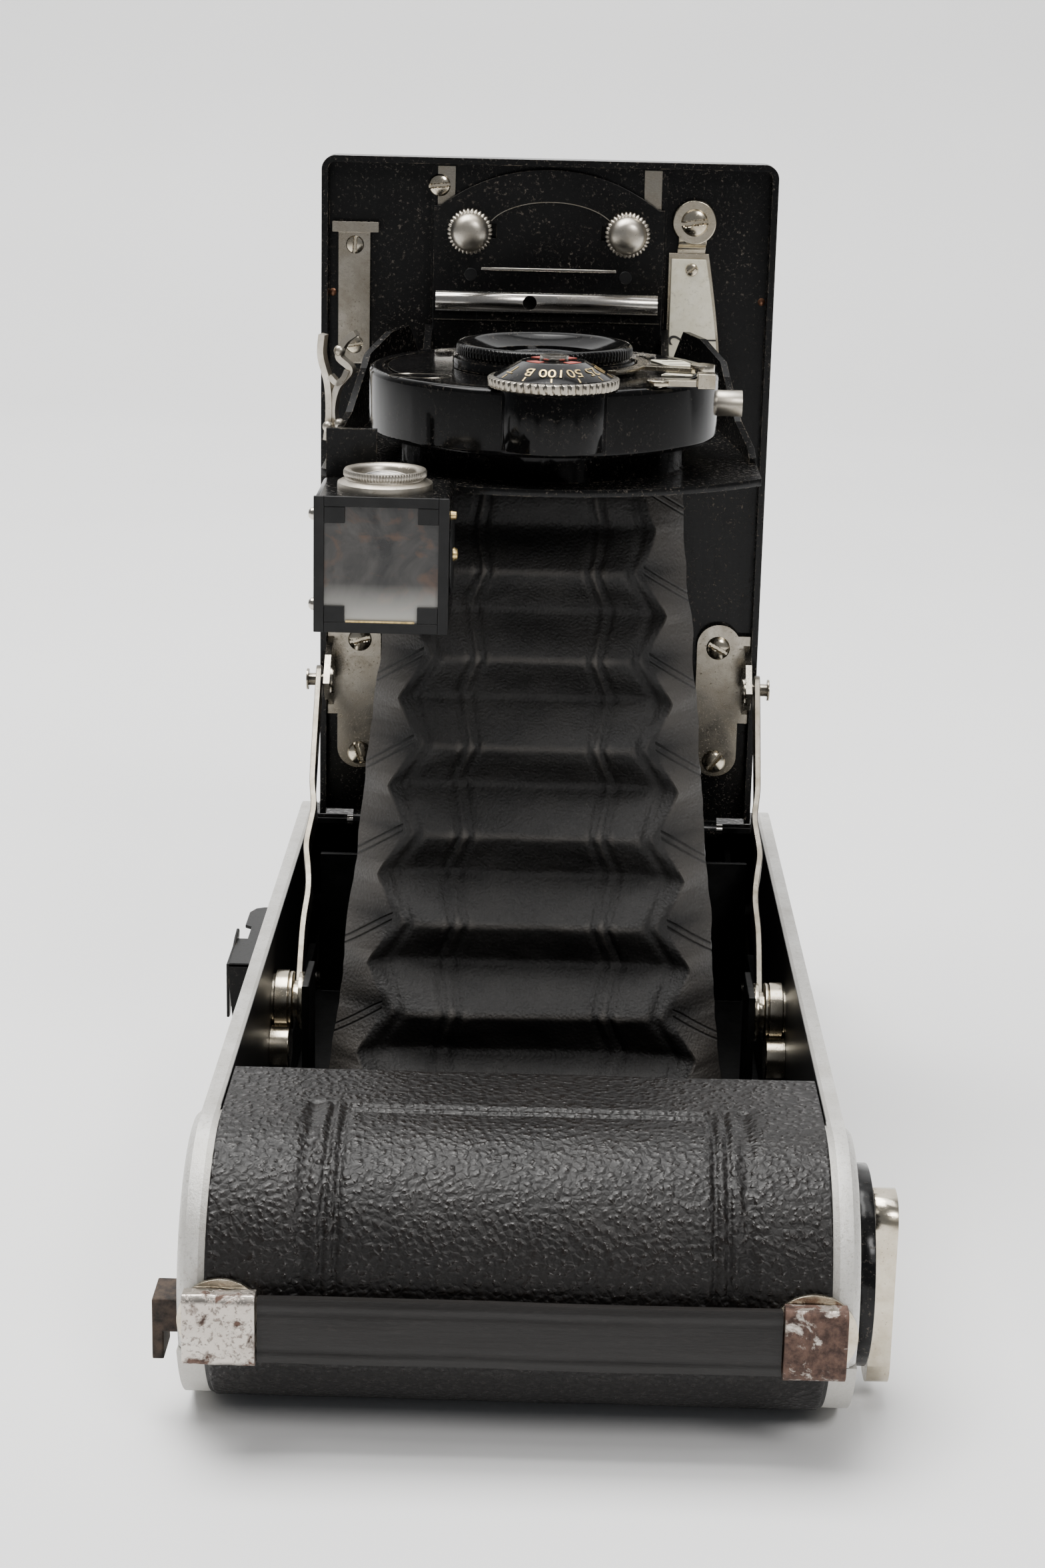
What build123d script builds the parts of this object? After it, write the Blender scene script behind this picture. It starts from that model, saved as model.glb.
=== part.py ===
"""Folding roll-film camera, opened and lying on its back.

Millimetres. +Z is the way the lens looks, +X is the winding-key side and +Y runs along the body
towards the bed hinge. The origin is the middle of the flat back that the camera lies on.
"""

import math
import os

from build123d import *

# Driving dimensions
BODY_LENGTH = 170.0
BODY_DEPTH = 35.0
BODY_WIDTH = 78.8
SIDE_PLATE = 2.2
CAP_HALF_WIDTH = 40.4
SHELL_HALF_WIDTH = 35.4
SKIN = 0.6
SHELL = 1.0
SEAM_Z = 11.8
SEAM_GAP = 0.15

BED_Y = 59.5
BED_HEIGHT = 107.7
BED_WIDTH = 70.6
BED_PLATE = 1.2
BED_LIP = 3.0
BED_CORNER = 2.2
KNOB_X = 12.2
KNOB_Z = 131.7
CLAMP_BAR_Z = 120.9
OPENING_NEAR_Y = -51.6

LENS_Y = 9.5
PLATE_Z = 104.0
SHUTTER_RADIUS = 24.5
SHUTTER_TOP = 117.0
LENS_RING_RADIUS = 12.8
LENS_RING_TOP = 120.5
DIAL_X = 1.4
DIAL_Y = -12.5
DIAL_RADIUS = 8.8

PIVOT_Y = 35.0
PIVOT_Z = 104.5
GUSSET_TOP = 117.5
STRUT_PIVOT_Y = 51.5
STRUT_PIVOT_Z = 60.8
STRUT_END_Y = -0.5
STRUT_END_Z = 25.3

FINDER_X0, FINDER_X1 = -29.2, -11.6
FINDER_Y0, FINDER_Y1 = -27.0, -12.6
FINDER_Z0, FINDER_Z1 = 86.5, 104.5

SPOOL_Y = 67.5
FEED_SPOOL_Y = 69.9
TAKE_UP_FLANGE = 12.4
FEED_FLANGE = 11.8
BACK_HINGE_Y = 85.7
SPOOL_PIN = 2.9
SPOOL_BORE = 2.95
SHAFT = 2.95
GATE_Y = 5.0
BOTH_SIDES = (-1, 1)

end_radius = BODY_DEPTH / 2
side_out = BODY_WIDTH / 2
side_in = side_out - SIDE_PLATE
bed_half = BED_WIDTH / 2
bed_top = BODY_DEPTH + BED_HEIGHT


# Plain shapes, given by where they start and end

def block(x0, x1, y0, y1, z0, z1):
    size = Box(x1 - x0, y1 - y0, z1 - z0)
    return Pos((x0 + x1) / 2, (y0 + y1) / 2, (z0 + z1) / 2) * size


def rod_x(x0, x1, y, z, radius):
    return Pos((x0 + x1) / 2, y, z) * Rot(0, 90, 0) * Cylinder(radius, x1 - x0)


def rod_y(y0, y1, x, z, radius):
    return Pos(x, (y0 + y1) / 2, z) * Rot(90, 0, 0) * Cylinder(radius, y1 - y0)


def rod_z(z0, z1, x, y, radius):
    return Pos(x, y, (z0 + z1) / 2) * Cylinder(radius, z1 - z0)


def side_profile(points, x0, x1):
    """A polygon in Y and Z, given a thickness along X."""
    face = Plane.YZ * make_face(Polyline(*points, close=True))
    return Pos(x0, 0, 0) * extrude(face, x1 - x0, dir=(1, 0, 0))


def bed_profile(points, y0, y1):
    """A polygon in X and Z, given a thickness along Y."""
    face = Plane.XZ * make_face(Polyline(*points, close=True))
    return Pos(0, y0, 0) * extrude(face, y1 - y0, dir=(0, 1, 0))


def mirrored(shape):
    return mirror(shape, about=Plane.YZ)


def stadium(inset, half_width):
    """The body's outline seen from the side: flat faces and two half-round ends."""
    outline = SlotOverall(BODY_LENGTH - 2 * inset, BODY_DEPTH - 2 * inset)
    face = Plane.YZ * Pos(0, end_radius) * outline
    return Pos(-half_width, 0, 0) * extrude(face, 2 * half_width, dir=(1, 0, 0))


def above_seam(y0=-200, y1=200):
    return block(-90, 90, y0, y1, SEAM_Z, 90)


def below_seam():
    return block(-90, 90, -200, 200, -10, SEAM_Z - SEAM_GAP)


def slotted_screw_y(x, z, y_base, radius, height):
    """A round screw head that faces -Y, with a slot across it."""
    head = rod_y(y_base - height, y_base, x, z, radius)
    slot = block(x - radius, x + radius, y_base - height, y_base - height * 0.55, z - 0.25, z + 0.25)
    return head - slot


def write(name, shape):
    os.makedirs("parts", exist_ok=True)
    solids = shape if isinstance(shape, list) else [shape]
    flat = [solid for item in solids for solid in item.solids()]
    body = flat[0] if len(flat) == 1 else Compound(children=flat)
    body.label = name
    export_step(body, f"parts/{name}.step")


# The body: cast side plates, rounded ends, film gate and spools

def side_plate_right():
    plate = stadium(0, side_out) & block(side_in, side_out, -90, 90, SEAM_Z, 60)
    cap_round = fillet(
        rod_x(SHELL_HALF_WIDTH + 0.1, CAP_HALF_WIDTH, -SPOOL_Y, end_radius, end_radius)
        .edges().filter_by(GeomType.CIRCLE).sort_by(Axis.X)[-1], 1.8)
    cap = cap_round & above_seam(-90, -SPOOL_Y + 2)
    return plate + cap


def key_bore():
    return rod_x(30, 45, -SPOOL_Y, end_radius, SHAFT + 0.05)


def end_shell(y0, y1, half_width):
    skin_room = SKIN
    shell = stadium(skin_room, half_width) - stadium(skin_room + SHELL, half_width + 1)
    return shell & above_seam(y0, y1)


def end_skin(y0, y1):
    skin = stadium(0, SHELL_HALF_WIDTH) - stadium(SKIN, SHELL_HALF_WIDTH + 1)
    return skin & above_seam(y0, y1)


def film_gate():
    plate = block(-37.1, 37.1, -51.0, 57.4, 4.5, 6.0) - block(-28, 28, GATE_Y - 43, GATE_Y + 43, 4, 7)
    near_wall = block(-35.2, 35.2, -51.0, -49.9, 4.5, 31)
    far_wall = block(-35.2, 35.2, 56.4, 57.4, 4.5, 30)
    frame = plate + near_wall + far_wall
    for side in BOTH_SIDES:
        frame += block(min(side * 35.9, side * 37.1), max(side * 35.9, side * 37.1), -48.8, 57.4, 4.5, 14)
        frame += block(min(side * 31.6, side * 32.6), max(side * 31.6, side * 32.6), -6, 5, 4.5, 29.5)
    return frame


def strut_pins():
    """The stepped studs that the struts stop against, one on each side."""
    studs = []
    for side in BOTH_SIDES:
        spans = ((32.6, 33.4, 4.2), (33.4, 34.6, 3.0), (34.6, 35.3, 3.9))
        stud = None
        for inner, outer, radius in spans:
            x0, x1 = sorted((side * inner, side * outer))
            ring = rod_x(x0, x1, STRUT_END_Y, STRUT_END_Z, radius)
            stud = ring if stud is None else stud + ring
        studs.append(stud)
    return studs


def spool(y, flange):
    core = rod_x(-32, 32, y, end_radius, 5.8)
    reel = core + rod_x(-33, -32, y, end_radius, flange) + rod_x(32, 33, y, end_radius, flange)
    return reel - rod_x(-34, 34, y, end_radius, SPOOL_BORE)


def spool_pins():
    return [
        rod_x(-SHELL_HALF_WIDTH - 0.1, -29, -SPOOL_Y, end_radius, SPOOL_PIN),
        rod_x(-side_in, -29, FEED_SPOOL_Y, end_radius, SPOOL_PIN),
        rod_x(29, side_in, FEED_SPOOL_Y, end_radius, SPOOL_PIN),
    ]


def film_rollers():
    return [rod_x(-side_in, side_in, y, 6.8, 1.5) for y in (-52.9, 59.3)]


def hinge_pins():
    """The pin of the bed hinge and the pin of the back's hinge."""
    return [rod_x(-31, 31, BED_Y, BODY_DEPTH, 0.8), rod_x(-30, 30, BACK_HINGE_Y, SEAM_Z, 0.6)]


def bed_hinge_seat():
    """The fixed knuckle in the middle of the bed hinge, with its arm to the far end of the body."""
    knuckle = rod_x(-9.8, 9.8, BED_Y, BODY_DEPTH, 1.6)
    arm = block(-9.8, 9.8, BED_Y, 63.0, BODY_DEPTH - 1.6, BODY_DEPTH - 0.6)
    return knuckle + arm - rod_x(-20, 20, BED_Y, BODY_DEPTH, 0.85)


def key_washer():
    disc = rod_x(CAP_HALF_WIDTH + 0.05, 42.6, -SPOOL_Y, end_radius, 12.4)
    dish = rod_x(41.8, 43, -SPOOL_Y, end_radius, 9.6)
    return disc - dish - key_bore()


def key_shaft():
    return rod_x(29, 43.2, -SPOOL_Y, end_radius, SHAFT)


def winding_key():
    wing = block(43.2, 46.0, -71.5, -63.5, 2.2, 27.2)
    return fillet(wing.edges().filter_by(Axis.X), 3.4)


def side_catch():
    """A folded metal catch on the outside of the left side plate, with a notch that leaves a hook."""
    top = block(-43.2, -side_out, -8, 18, 32.6, 33.6)
    near = block(-43.2, -side_out, -8, -7, 25, 33.6)
    hook = block(-43.2, -42.3, -8, 4, 29, 34.2)
    foot = block(-40.3, -side_out, -8, 18, 27, 33.6)
    notch = block(-44, -41.4, 4, 9, 32, 35)
    return top + near + hook + foot - notch


# Straps and small fittings on the near end

def strap():
    return fillet(block(-30.4, 31.0, -88.0, -86.2, 12.4, 20.6).edges().filter_by(Axis.X), 0.6)


def strap_clips():
    right = block(31.2, 38.6, -88.6, -85.9, 12.0, 21.0)
    left = block(-39.2, -30.6, -88.6, -85.9, 12.0, 21.0)
    return [fillet(clip.edges().filter_by(Axis.Y), 0.8) for clip in (left, right)]


def strap_studs():
    studs = []
    for x in (-34.8, 34.8):
        studs.append(rod_y(-85.8, -85.2, x, 16.6, 5.3) + rod_y(-85.2, -85.0, x, 17.5, 2.0))
    return studs


# The hinged back

def back_door():
    outer = stadium(0, side_out)
    cap = rod_x(-CAP_HALF_WIDTH, CAP_HALF_WIDTH, -SPOOL_Y, end_radius, end_radius)
    outer += cap & block(-90, 90, -90, -SPOOL_Y + 2, -5, 60)
    inner = stadium(1.8, side_out - 1.4)
    tray = (outer - inner) & below_seam()
    leather_pocket = block(-35, 35, -62, 62, -1, SKIN)
    window_hole = rod_z(-1, 5, 0, 20, 5.05)
    tray -= rod_x(-11, 11, BACK_HINGE_Y, SEAM_Z, 1.5)
    for x0, x1 in ((-30, -11), (11, 30)):
        tray += rod_x(x0, x1, BACK_HINGE_Y, SEAM_Z, 1.2)
        tray += block(x0, x1, 83.0, BACK_HINGE_Y, SEAM_Z - 1.2, SEAM_Z - SEAM_GAP)
    return tray - leather_pocket - window_hole - rod_x(-40, 40, BACK_HINGE_Y, SEAM_Z, 0.65)


def back_leather():
    return block(-35, 35, -62, 62, 0, SKIN) - rod_z(-1, 5, 0, 20, 5.05)


def far_shell():
    """The far end of the body with the fixed knuckles of the bed hinge and of the back's hinge."""
    shell = end_shell(62.4, 90, side_in) + bed_hinge_seat()
    for x0, x1 in ((-30.2, -10.9), (10.9, 30.2)):
        shell -= rod_x(x0, x1, BACK_HINGE_Y, SEAM_Z, 1.5)
    shell += rod_x(-10.8, 10.8, BACK_HINGE_Y, SEAM_Z, 1.2)
    shell += block(-10.8, 10.8, 82.2, BACK_HINGE_Y, SEAM_Z + 0.1, SEAM_Z + 1.2)
    return shell - rod_x(-40, 40, BACK_HINGE_Y, SEAM_Z, 0.65)


def pressure_plate():
    plate = block(-31, 31, GATE_Y - 46, GATE_Y + 46, 3.0, 3.8)
    return plate - rod_z(2, 5, 0, 20, 5.0)


def pressure_spring():
    """A bowed leaf between the back and the pressure plate."""
    points = [(-20, 1.8), (-14, 1.8), (-6, 2.6), (0, 2.6), (0, 3.0), (-7, 3.0), (-15, 2.2), (-20, 2.2)]
    near = side_profile(points, -6, 6)
    far = side_profile([(2 * 35 + y, z) for y, z in points], -6, 6)
    return [near, far]


def red_window():
    return rod_z(0.3, 1.5, 0, 20, 5.0)


def back_latch():
    tongue = block(-43.8, -40.5, -80.5, -74.5, 12.2, 16.6)
    hook = block(-43.8, -42.4, -80.5, -74.5, 8.6, 12.2)
    return tongue + hook


# The bed and what is fixed to it

def bed_outline(inset, y0, y1, bottom):
    half = bed_half - inset
    plate = block(-half, half, y0, y1, bottom, bed_top - inset)
    corners = plate.edges().filter_by(Axis.Y).group_by(Axis.Z)[-1]
    return fillet(corners, BED_CORNER - inset)


def bed_plate():
    bottom = BODY_DEPTH + 1.9
    sheet = bed_outline(0, BED_Y, BED_Y + BED_PLATE, bottom)
    rim = bed_outline(0, BED_Y - BED_LIP, BED_Y + BED_PLATE, bottom)
    rim -= bed_outline(1.0, BED_Y - BED_LIP - 1, BED_Y, bottom - 5)
    plate = sheet + rim
    for side in BOTH_SIDES:
        x0, x1 = sorted((side * 10, side * 30))
        knuckle = rod_x(x0, x1, BED_Y, BODY_DEPTH, 1.6)
        plate += knuckle + block(x0, x1, BED_Y, BED_Y + BED_PLATE, BODY_DEPTH, bottom)
    return plate - rod_x(-40, 40, BED_Y, BODY_DEPTH, 0.85)


def bed_leather():
    return bed_outline(1.4, BED_Y + BED_PLATE, BED_Y + BED_PLATE + SKIN, BODY_DEPTH + 3)


def track_plate():
    slab = block(-18.3, 18.3, BED_Y - 0.9, BED_Y, 42, 141.6)
    return fillet(slab.edges().filter_by(Axis.Y).group_by(Axis.Z)[-1], 0.8)


def rails():
    strips = []
    for side in BOTH_SIDES:
        x0, x1 = sorted((side * 14.6, side * 17.4))
        strips.append(block(x0, x1, BED_Y - 1.2, BED_Y - 0.9, 44, 141.4))
    return strips


def bed_screws():
    places = [(-29.0, 66.0), (29.0, 66.0), (-29.0, 47.0), (29.0, 47.0)]
    brackets = [slotted_screw_y(x, z, BED_Y - 1.5, 1.9, 1.0) for x, z in places]
    strip = [slotted_screw_y(-30.2, z, BED_Y - 1.0, 1.4, 0.6) for z in (129.0, 113.5)]
    scale = [slotted_screw_y(22.6, 133.6, BED_Y - 1.6, 2.1, 0.9)]
    scale += [slotted_screw_y(22.4, 126.4, BED_Y - 1.6, 1.0, 0.5)]
    rail = [slotted_screw_y(-17.1, 138.4, BED_Y - 1.2, 1.7, 0.7)]
    return brackets + strip + scale + rail


def bed_strip():
    strip = block(-32.8, -27.8, BED_Y - 1.0, BED_Y, 110.5, 131)
    lip = block(-33.8, -26.4, BED_Y - 2.0, BED_Y, 131, 132.6)
    return strip + lip


def distance_scale_base():
    tab = rod_y(BED_Y - 1.6, BED_Y, 22.6, 133.6, 3.4)
    neck = block(20.6, 24.6, BED_Y - 1.6, BED_Y, 128.5, 133)
    back = block(18.8, 27.2, BED_Y - 0.8, BED_Y, 104.5, 128.6)
    return tab + neck + back


def distance_scale():
    return block(19.2, 26.6, BED_Y - 1.6, BED_Y - 0.8, 105, 128.4)


def strut_brackets():
    plate = block(25.6, 32.6, BED_Y - 1.5, BED_Y, 44.5, 69.8)
    plate = fillet(plate.edges().filter_by(Axis.Y), 3.4)
    right = plate + block(30, 34.2, BED_Y - 1.5, BED_Y, 53.5, 68)
    ear = side_profile([(59.5, 54.5), (52.5, 57.2), (48.6, 60.8), (52.5, 64.6), (59.5, 67)], 33.2, 34.2)
    right = right + ear - rod_x(30, 40, STRUT_PIVOT_Y, STRUT_PIVOT_Z, 1.05)
    return [mirrored(right), right]


def strut_rivets():
    rivets = []
    for side in BOTH_SIDES:
        spans = ((32.6, 33.2, 2.2), (33.2, 36.65, 1.0), (36.65, 37.0, 1.7))
        rivet = None
        for inner, outer, radius in spans:
            x0, x1 = sorted((side * inner, side * outer))
            part = rod_x(x0, x1, STRUT_PIVOT_Y, STRUT_PIVOT_Z, radius)
            rivet = part if rivet is None else rivet + part
        rivets.append(rivet)
    return rivets


# The struts

def strut_right():
    """A flat bar from the bed bracket down to the stud on the body, with rounded ends."""
    along_y = STRUT_END_Y - STRUT_PIVOT_Y
    along_z = STRUT_END_Z - STRUT_PIVOT_Z
    length = math.hypot(along_y, along_z)
    ny, nz = -along_z / length, along_y / length
    half_top, half_end = 2.6, 3.3
    points = [
        (STRUT_PIVOT_Y + ny * half_top, STRUT_PIVOT_Z + nz * half_top),
        (STRUT_END_Y + ny * half_end, STRUT_END_Z + nz * half_end),
        (STRUT_END_Y - ny * half_end, STRUT_END_Z - nz * half_end),
        (STRUT_PIVOT_Y - ny * half_top, STRUT_PIVOT_Z - nz * half_top),
    ]
    bar = side_profile(points, 35.6, 36.6)
    bar += rod_x(35.6, 36.6, STRUT_PIVOT_Y, STRUT_PIVOT_Z, 3.4)
    bar += rod_x(35.6, 36.6, STRUT_END_Y, STRUT_END_Z, 4.2)
    return bar - rod_x(30, 40, STRUT_PIVOT_Y, STRUT_PIVOT_Z, 1.05)


# The carriage that runs on the bed

def carriage_plate():
    back, front = BED_Y - 1.4, BED_Y - 2.6
    points = [(-17.9, 112), (17.9, 112), (17.9, 135.4), (-17.9, 135.4)]
    plate = bed_profile(points, front, back)
    arch = rod_y(front, back, 0, 113.7, 27.5) & block(-17.9, 17.9, front, back, 135, 145)
    plate += arch
    for side in BOTH_SIDES:
        x0, x1 = sorted((side * 17.9, side * 19.1))
        arm = [(back, 112.2), (back, 117), (50, 113), (PIVOT_Y - 1, PIVOT_Z + 1.6),
               (PIVOT_Y - 1, PIVOT_Z - 0.2), (38, PIVOT_Z - 0.2)]
        plate += side_profile(arm, x0, x1) + rod_x(x0, x1, PIVOT_Y, PIVOT_Z, 1.5)
        slot0, slot1 = sorted((side * 8.2, side * 14.2))
        plate -= block(slot0, slot1, front - 1, back + 1, KNOB_Z - 1.1, KNOB_Z + 1.1)
    return plate - rod_x(-30, 30, PIVOT_Y, PIVOT_Z, 0.85)


def carriage_knob_right():
    x, z = KNOB_X, KNOB_Z
    head = rod_y(BED_Y - 7.6, BED_Y - 2.9, x, z, 3.4)
    head = fillet(head.edges().filter_by(GeomType.CIRCLE).sort_by(Axis.Y)[0], 1.2)
    return head + rod_y(BED_Y - 2.9, BED_Y - 1.35, x, z, 0.95)


def clamp_bar():
    bar = rod_x(-17.4, 17.2, BED_Y - 2.6, CLAMP_BAR_Z, 1.5) & block(-20, 20, 50, BED_Y - 2.6, 110, 130)
    bar += block(-17.4, 17.2, BED_Y - 3.4, BED_Y - 2.6, 119.4, 122.4)
    return bar - rod_y(40, 62, -2.7, CLAMP_BAR_Z, 1.1)


# The lens standard and the shutter

def standard_outline(inset, z0, z1):
    """The standard's plan: narrow beside the bed, full width at the front, with a bowed front edge."""
    far_y, wide_y, side_y, front_y = BED_Y - 4.0, BED_Y - 18.0, BED_Y - 45.0, BED_Y - 62.0
    half = 30.3 - inset
    face = make_face([
        Polyline((-half, front_y), (-half, side_y), (-27.5 + inset, wide_y), (-20.0 + inset, far_y),
                 (20.0 - inset, far_y), (27.5 - inset, wide_y), (half, side_y), (half, front_y)),
        ThreePointArc((half, front_y), (0, BED_Y - 75), (-half, front_y)),
    ])
    return Pos(0, 0, z0) * extrude(face, z1 - z0, dir=(0, 0, 1))


def gussets():
    """The upturned side walls: tall beside the bed, fading out along the plate's edge."""
    walls = standard_outline(0, PLATE_Z - 1, GUSSET_TOP + 1) - standard_outline(1, 90, 140)
    side_view = [(BED_Y - 3, 100), (BED_Y - 3, 108.5), (51.5, GUSSET_TOP), (47, 117), (38, 112.5),
                 (26, 107.6), (10, 104.8), (10, 100)]
    walls &= side_profile(side_view, -40, 40)
    return walls - block(-18.8, 18.8, 40, 70, 90, 130)


def standard_plate():
    plate = standard_outline(0, PLATE_Z - 1, PLATE_Z)
    plate -= block(-40, FINDER_X1 + 0.4, -30, FINDER_Y1 + 1.6, 100, 110)
    plate += gussets()
    plate += block(-18.9, 18.9, BED_Y - 5, BED_Y - 4, PLATE_Z - 1, PLATE_Z + 2)
    plate += block(-28.8, -22.0, FINDER_Y1 + 0.3, FINDER_Y1 + 1.3, PLATE_Z - 1, PLATE_Z + 7)
    plate += block(-28.8, -22.0, FINDER_Y1 + 0.3, FINDER_Y1 + 4.0, PLATE_Z - 1, PLATE_Z)
    plate -= rod_z(100, 106, 0, LENS_Y, 10.2)
    for side in BOTH_SIDES:
        slot0, slot1 = sorted((side * 17.4, side * 19.5))
        plate -= block(slot0, slot1, PIVOT_Y - 3, PIVOT_Y + 4, 100, PLATE_Z)
        x0, x1 = sorted((side * 19.5, side * 20.7))
        plate += block(x0, x1, PIVOT_Y - 2, PIVOT_Y + 2, PLATE_Z - 1, PIVOT_Z + 2)
        pin0, pin1 = sorted((side * 17.4, side * 20.7))
        plate += rod_x(pin0, pin1, PIVOT_Y, PIVOT_Z, 0.8)
    return plate


def spring_catch():
    """Two flat levers that cross on the left edge of the standard, with their rivet."""
    lower = side_profile([(34, 104.2), (20, 104.2), (18, 108), (22, 109), (34, 106.4)], -31.0, -30.7)
    upper = side_profile([(33, 106), (24, 113.5), (21, 112.5), (31, 104.6)], -31.4, -31.1)
    rivet = rod_x(-31.5, -30.4, 31, 105.4, 0.9)
    return lower + upper + rivet


def shutter_body():
    drum = rod_z(PLATE_Z + 4, SHUTTER_TOP, 0, LENS_Y, SHUTTER_RADIUS)
    drum = fillet(drum.edges().filter_by(GeomType.CIRCLE), 0.8)
    drum += rod_z(PLATE_Z, PLATE_Z + 4, 0, LENS_Y, 20)
    groove = rod_z(SHUTTER_TOP - 0.5, SHUTTER_TOP + 1, 0, LENS_Y, 22.6)
    groove -= rod_z(SHUTTER_TOP - 1, SHUTTER_TOP + 2, 0, LENS_Y, 21.9)
    lobe = rod_z(PLATE_Z + 5, SHUTTER_TOP, DIAL_X, DIAL_Y + 1.5, 7.6)
    body = drum - groove + lobe
    body -= rod_z(90, 130, 0, LENS_Y, 9.4)
    body -= rod_z(SHUTTER_TOP - 2, 130, DIAL_X, DIAL_Y, 1.05)
    return body - rod_x(22.5, 27, LENS_Y + 4, 112, 1.9)


def lens_ring():
    lower = rod_z(SHUTTER_TOP, SHUTTER_TOP + 1.2, 0, LENS_Y, LENS_RING_RADIUS)
    upper = rod_z(SHUTTER_TOP + 1.2, LENS_RING_TOP, 0, LENS_Y, LENS_RING_RADIUS - 0.5)
    barrel = rod_z(PLATE_Z + 4, SHUTTER_TOP, 0, LENS_Y, 9.3)
    return lower + upper + barrel - rod_z(100, 130, 0, LENS_Y, 8.2)


def front_lens():
    """A round glass with a domed front."""
    dome = Pos(0, LENS_Y, LENS_RING_TOP - 22.6) * Sphere(22)
    return dome & rod_z(SHUTTER_TOP - 1, LENS_RING_TOP, 0, LENS_Y, 8.15)


def rear_lens():
    cell = rod_z(PLATE_Z - 1.1, PLATE_Z + 3.9, 0, LENS_Y, 9.3)
    return cell & (Pos(0, LENS_Y, PLATE_Z - 1.1 + 26) * Sphere(26))


def aperture_scale():
    """A curved ivory strip let into the shutter face beside the lens."""
    ring = rod_z(SHUTTER_TOP, SHUTTER_TOP + 0.3, 0, LENS_Y, 21.6)
    ring -= rod_z(SHUTTER_TOP - 1, SHUTTER_TOP + 1, 0, LENS_Y, 17.6)
    wedge = block(0, 30, LENS_Y - 7, LENS_Y + 9, SHUTTER_TOP - 1, SHUTTER_TOP + 1)
    return ring & wedge


def aperture_lever():
    """A flat pointer that swings round the lens just above the shutter face."""
    z0, z1 = SHUTTER_TOP + 0.5, SHUTTER_TOP + 1.1
    collar = rod_z(z0, z1, 0, 0, 14.6) - rod_z(z0 - 1, z1 + 1, 0, 0, LENS_RING_RADIUS + 0.3)
    collar &= block(11, 20, -8, 8, z0, z1)
    arm = block(13.8, 23.2, -1.1, 1.1, z0, z1) + rod_z(z0, z1 + 0.5, 22.6, 0, 1.7)
    return Pos(0, LENS_Y, 0) * Rot(0, 0, -14) * (collar + arm)


def release_lever():
    """The shutter release: a short tab on a pivot near the edge of the shutter face."""
    z0, z1 = SHUTTER_TOP + 0.2, SHUTTER_TOP + 1.0
    arm = block(15.5, 22.6, -8.9, -7.3, z0, z1)
    tab = block(20.6, 23.0, -11.0, -8.1, z0, z1 + 1.2)
    hub = rod_z(z0, z1, 15.5, -8.1, 1.6)
    return arm + tab + hub - rod_z(z0 - 1, z1 + 1, 15.5, -8.1, 0.65)


def shutter_screws():
    """Small round screws on the shutter face and the pin that the release turns on."""
    places = [(-14.6, LENS_Y + 13.2), (14.6, LENS_Y + 13.2)]
    screws = []
    for x, y in places:
        head = rod_z(SHUTTER_TOP, SHUTTER_TOP + 0.4, x, y, 1.4)
        screws.append(head - block(x - 2, x + 2, y - 0.2, y + 0.2, SHUTTER_TOP + 0.2, SHUTTER_TOP + 1))
    screws.append(rod_z(SHUTTER_TOP, SHUTTER_TOP + 1.2, 15.5, -8.1, 0.6))
    return screws


def cable_socket():
    sleeve = rod_x(22.6, 28.2, LENS_Y + 4, 112, 1.85)
    return sleeve - rod_x(24.4, 30, LENS_Y + 4, 112, 1.2)


def speed_dial():
    z0 = SHUTTER_TOP + 0.3
    rim = rod_z(z0, z0 + 1.3, DIAL_X, DIAL_Y, DIAL_RADIUS)
    cone = Pos(DIAL_X, DIAL_Y, z0 + 1.3 + 1.1) * Cone(DIAL_RADIUS - 0.7, 4.4, 2.2)
    stem = rod_z(SHUTTER_TOP - 1.6, z0, DIAL_X, DIAL_Y, 1.0)
    return rim + cone + stem


def dial_screw():
    z0 = SHUTTER_TOP + 3.8
    head = rod_z(z0, z0 + 0.7, DIAL_X, DIAL_Y, 1.9)
    return head - block(DIAL_X - 3, DIAL_X + 3, DIAL_Y - 0.3, DIAL_Y + 0.3, z0 + 0.3, z0 + 2)


# The reflex finder

def finder_body():
    wall = 1.0
    box = block(FINDER_X0, FINDER_X1, FINDER_Y0, FINDER_Y1, FINDER_Z0, FINDER_Z1)
    box = fillet(box.edges().filter_by(Axis.Y), 0.8)
    box -= block(FINDER_X0 + wall, FINDER_X1 - wall, FINDER_Y0 - 1, FINDER_Y1 - wall,
                 FINDER_Z0 + wall, FINDER_Z1 - wall)
    centre_x = (FINDER_X0 + FINDER_X1) / 2
    centre_y = (FINDER_Y0 + FINDER_Y1) / 2
    box -= rod_z(FINDER_Z1 - 2, FINDER_Z1 + 2, centre_x, centre_y, 5.0)
    return box


def finder_window():
    glass = block(FINDER_X0 + 1, FINDER_X1 - 1, FINDER_Y0 + 0.3, FINDER_Y0 + 1.3,
                  FINDER_Z0 + 1, FINDER_Z1 - 1)
    return glass


def finder_objective():
    centre_x = (FINDER_X0 + FINDER_X1) / 2
    centre_y = (FINDER_Y0 + FINDER_Y1) / 2
    lower = rod_z(FINDER_Z1, FINDER_Z1 + 1.2, centre_x, centre_y, 6.3)
    upper = rod_z(FINDER_Z1 + 1.2, FINDER_Z1 + 2.5, centre_x, centre_y, 5.6)
    return lower + upper - rod_z(FINDER_Z1 - 1, FINDER_Z1 + 4, centre_x, centre_y, 4.6)


def finder_lens():
    centre_x = (FINDER_X0 + FINDER_X1) / 2
    centre_y = (FINDER_Y0 + FINDER_Y1) / 2
    ball = Pos(centre_x, centre_y, FINDER_Z1 + 2.2 - 9) * Sphere(9)
    return ball & rod_z(FINDER_Z1 - 0.2, FINDER_Z1 + 2.4, centre_x, centre_y, 4.55)


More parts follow.
